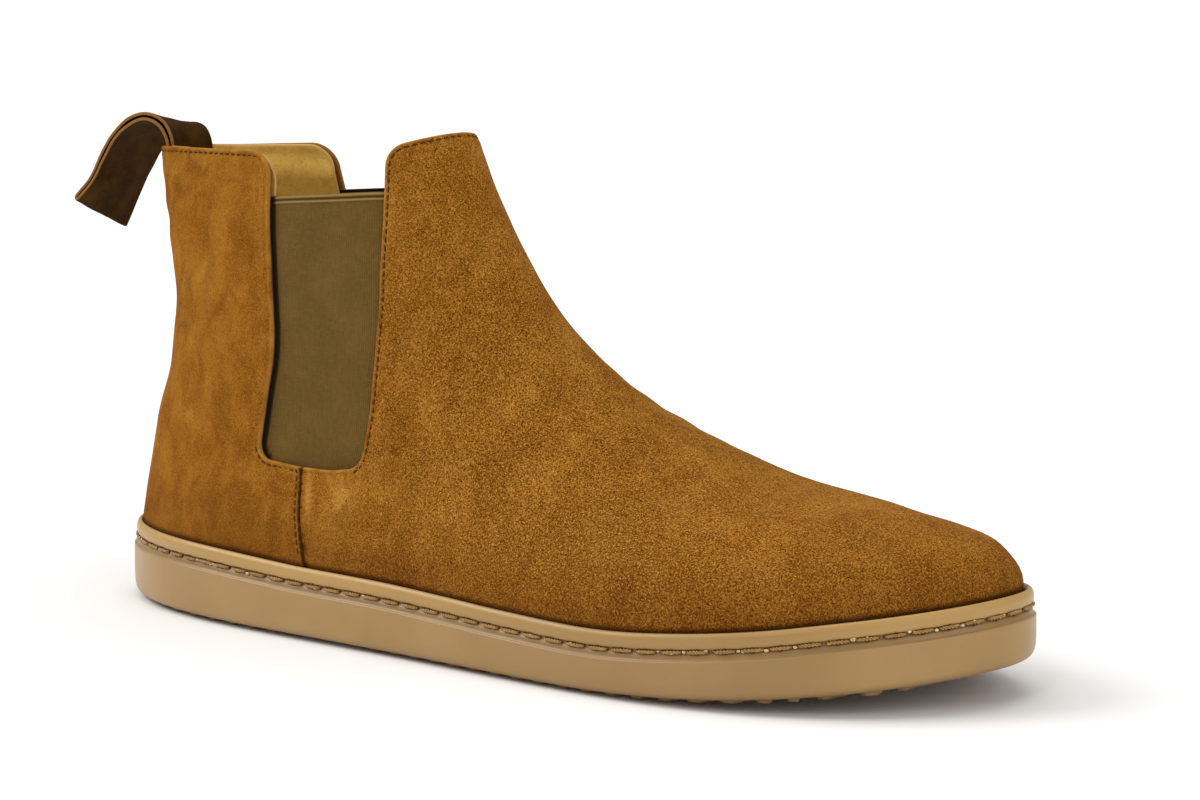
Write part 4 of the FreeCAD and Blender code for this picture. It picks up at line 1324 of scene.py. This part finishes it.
# ---------------------------------------------------------------- build
SIDES = {"lateral": False, "medial": True}
quarter_patches = {name: quarter(name, inner_side) for name, inner_side in SIDES.items()}
vamp_patch = vamp()
for side_name, is_inner in SIDES.items():
    gusset(side_name, is_inner)
quarter_lining()
vamp_lining()
for side_name in SIDES:
    edge_stitches(quarter_patches[side_name], "quarter_stitches_" + side_name,
                  "quarter_stitching_" + side_name, lifted=over_the_vamp)
for side_name, keep_side in (("lateral", beside_outer_window), ("medial", beside_inner_window)):
    edge_stitches(vamp_patch, "vamp_stitches_" + side_name, "vamp_stitching_" + side_name, keep=keep_side)
sole_stitches()
glue_beads()
cup_sole()
tread()
pull_tab()

for node, material in (("heel_counter", STIFFENER), ("toe_puff", STIFFENER), ("lasting_board", BOARD),
                       ("sole_filler", FOAM), ("footbed", FOAM), ("footbed_cover", LINING_LEATHER)):
    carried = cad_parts[node]
    if carried.material_slots:
        carried.material_slots[0].material = material
    else:
        carried.data.materials.append(material)


# ---------------------------------------------------------------- floor, light and camera
FLOOR_HALF = 6.0
# Each soft light's direction, power and spread in degrees.
SUNS = {
    "key": ((0.95, 0.42, -0.95), 1.35, 34.0),
    "top": ((0.10, -0.10, -1.0), 0.85, 50.0),
    "fill": ((-0.95, 0.25, -0.5), 0.6, 50.0),
    "glint": ((-0.10, 0.80, -0.75), 0.20, 9.0),
}
WORLD_SEEN = 1.05
WORLD_LIT = 0.52
CAMERA_AT = (612.10, -653.43, 175.92)
CAMERA_TURN, CAMERA_DOWN, CAMERA_ROLL = 0.594808, 0.131725, 0.00487
CAMERA_LENS = 84.19
CAMERA_SENSOR = 36.0


def floor():
    corners = [(x * FLOOR_HALF, y * FLOOR_HALF, 0) for x, y in ((-1, -1), (1, -1), (1, 1), (-1, 1))]
    mesh = bpy.data.meshes.new("floor")
    mesh.from_pydata(corners, [], [(0, 1, 2, 3)])
    made = bpy.data.objects.new("floor", mesh)
    bpy.context.scene.collection.objects.link(made)
    look = Look("floor", 0.9, 0.1).set("Base Color", (0.93, 0.93, 0.93, 1.0))
    mesh.materials.append(look.material)


def sun(name, towards, power, softness):
    """Soft directional light, whose spread is given in degrees."""
    light = bpy.data.lights.new(name, "SUN")
    light.energy = power
    light.angle = math.radians(softness)
    holder = bpy.data.objects.new(name, light)
    holder.rotation_mode = "QUATERNION"
    holder.rotation_quaternion = Vector(towards).to_track_quat("-Z", "Y")
    bpy.context.scene.collection.objects.link(holder)


def studio():
    """White surroundings that light the boot less than they look, and three soft lights."""
    world = bpy.data.worlds.new("studio")
    world.use_nodes = True
    nodes, links = world.node_tree.nodes, world.node_tree.links
    seen = nodes["Background"]
    seen.inputs["Color"].default_value = (1.0, 1.0, 1.0, 1.0)
    seen.inputs["Strength"].default_value = WORLD_SEEN
    lit = nodes.new("ShaderNodeBackground")
    lit.inputs["Color"].default_value = (1.0, 0.985, 0.96, 1.0)
    lit.inputs["Strength"].default_value = WORLD_LIT
    choice = nodes.new("ShaderNodeMixShader")
    links.new(nodes.new("ShaderNodeLightPath").outputs["Is Camera Ray"], choice.inputs["Fac"])
    links.new(lit.outputs["Background"], choice.inputs[1])
    links.new(seen.outputs["Background"], choice.inputs[2])
    links.new(choice.outputs["Shader"], nodes["World Output"].inputs["Surface"])
    bpy.context.scene.world = world
    for name, (towards, power, softness) in SUNS.items():
        sun(name, towards, power, softness)
    bpy.context.scene.view_settings.view_transform = "Standard"


def camera():
    level = math.cos(CAMERA_DOWN)
    right = Vector((math.cos(CAMERA_TURN), math.sin(CAMERA_TURN), 0.0))
    forward = Vector((-math.sin(CAMERA_TURN) * level, math.cos(CAMERA_TURN) * level, -math.sin(CAMERA_DOWN)))
    upward = right.cross(forward)
    data = bpy.data.cameras.new("camera")
    data.sensor_width = CAMERA_SENSOR
    data.lens = CAMERA_LENS
    made = bpy.data.objects.new("camera", data)
    basis = Matrix((right, upward, -forward)).transposed()
    made.matrix_world = Matrix.Translation(place(CAMERA_AT)) @ (
        basis @ Matrix.Rotation(CAMERA_ROLL, 3, "Z")).to_4x4()
    bpy.context.scene.collection.objects.link(made)
    bpy.context.scene.camera = made


floor()
studio()
camera()
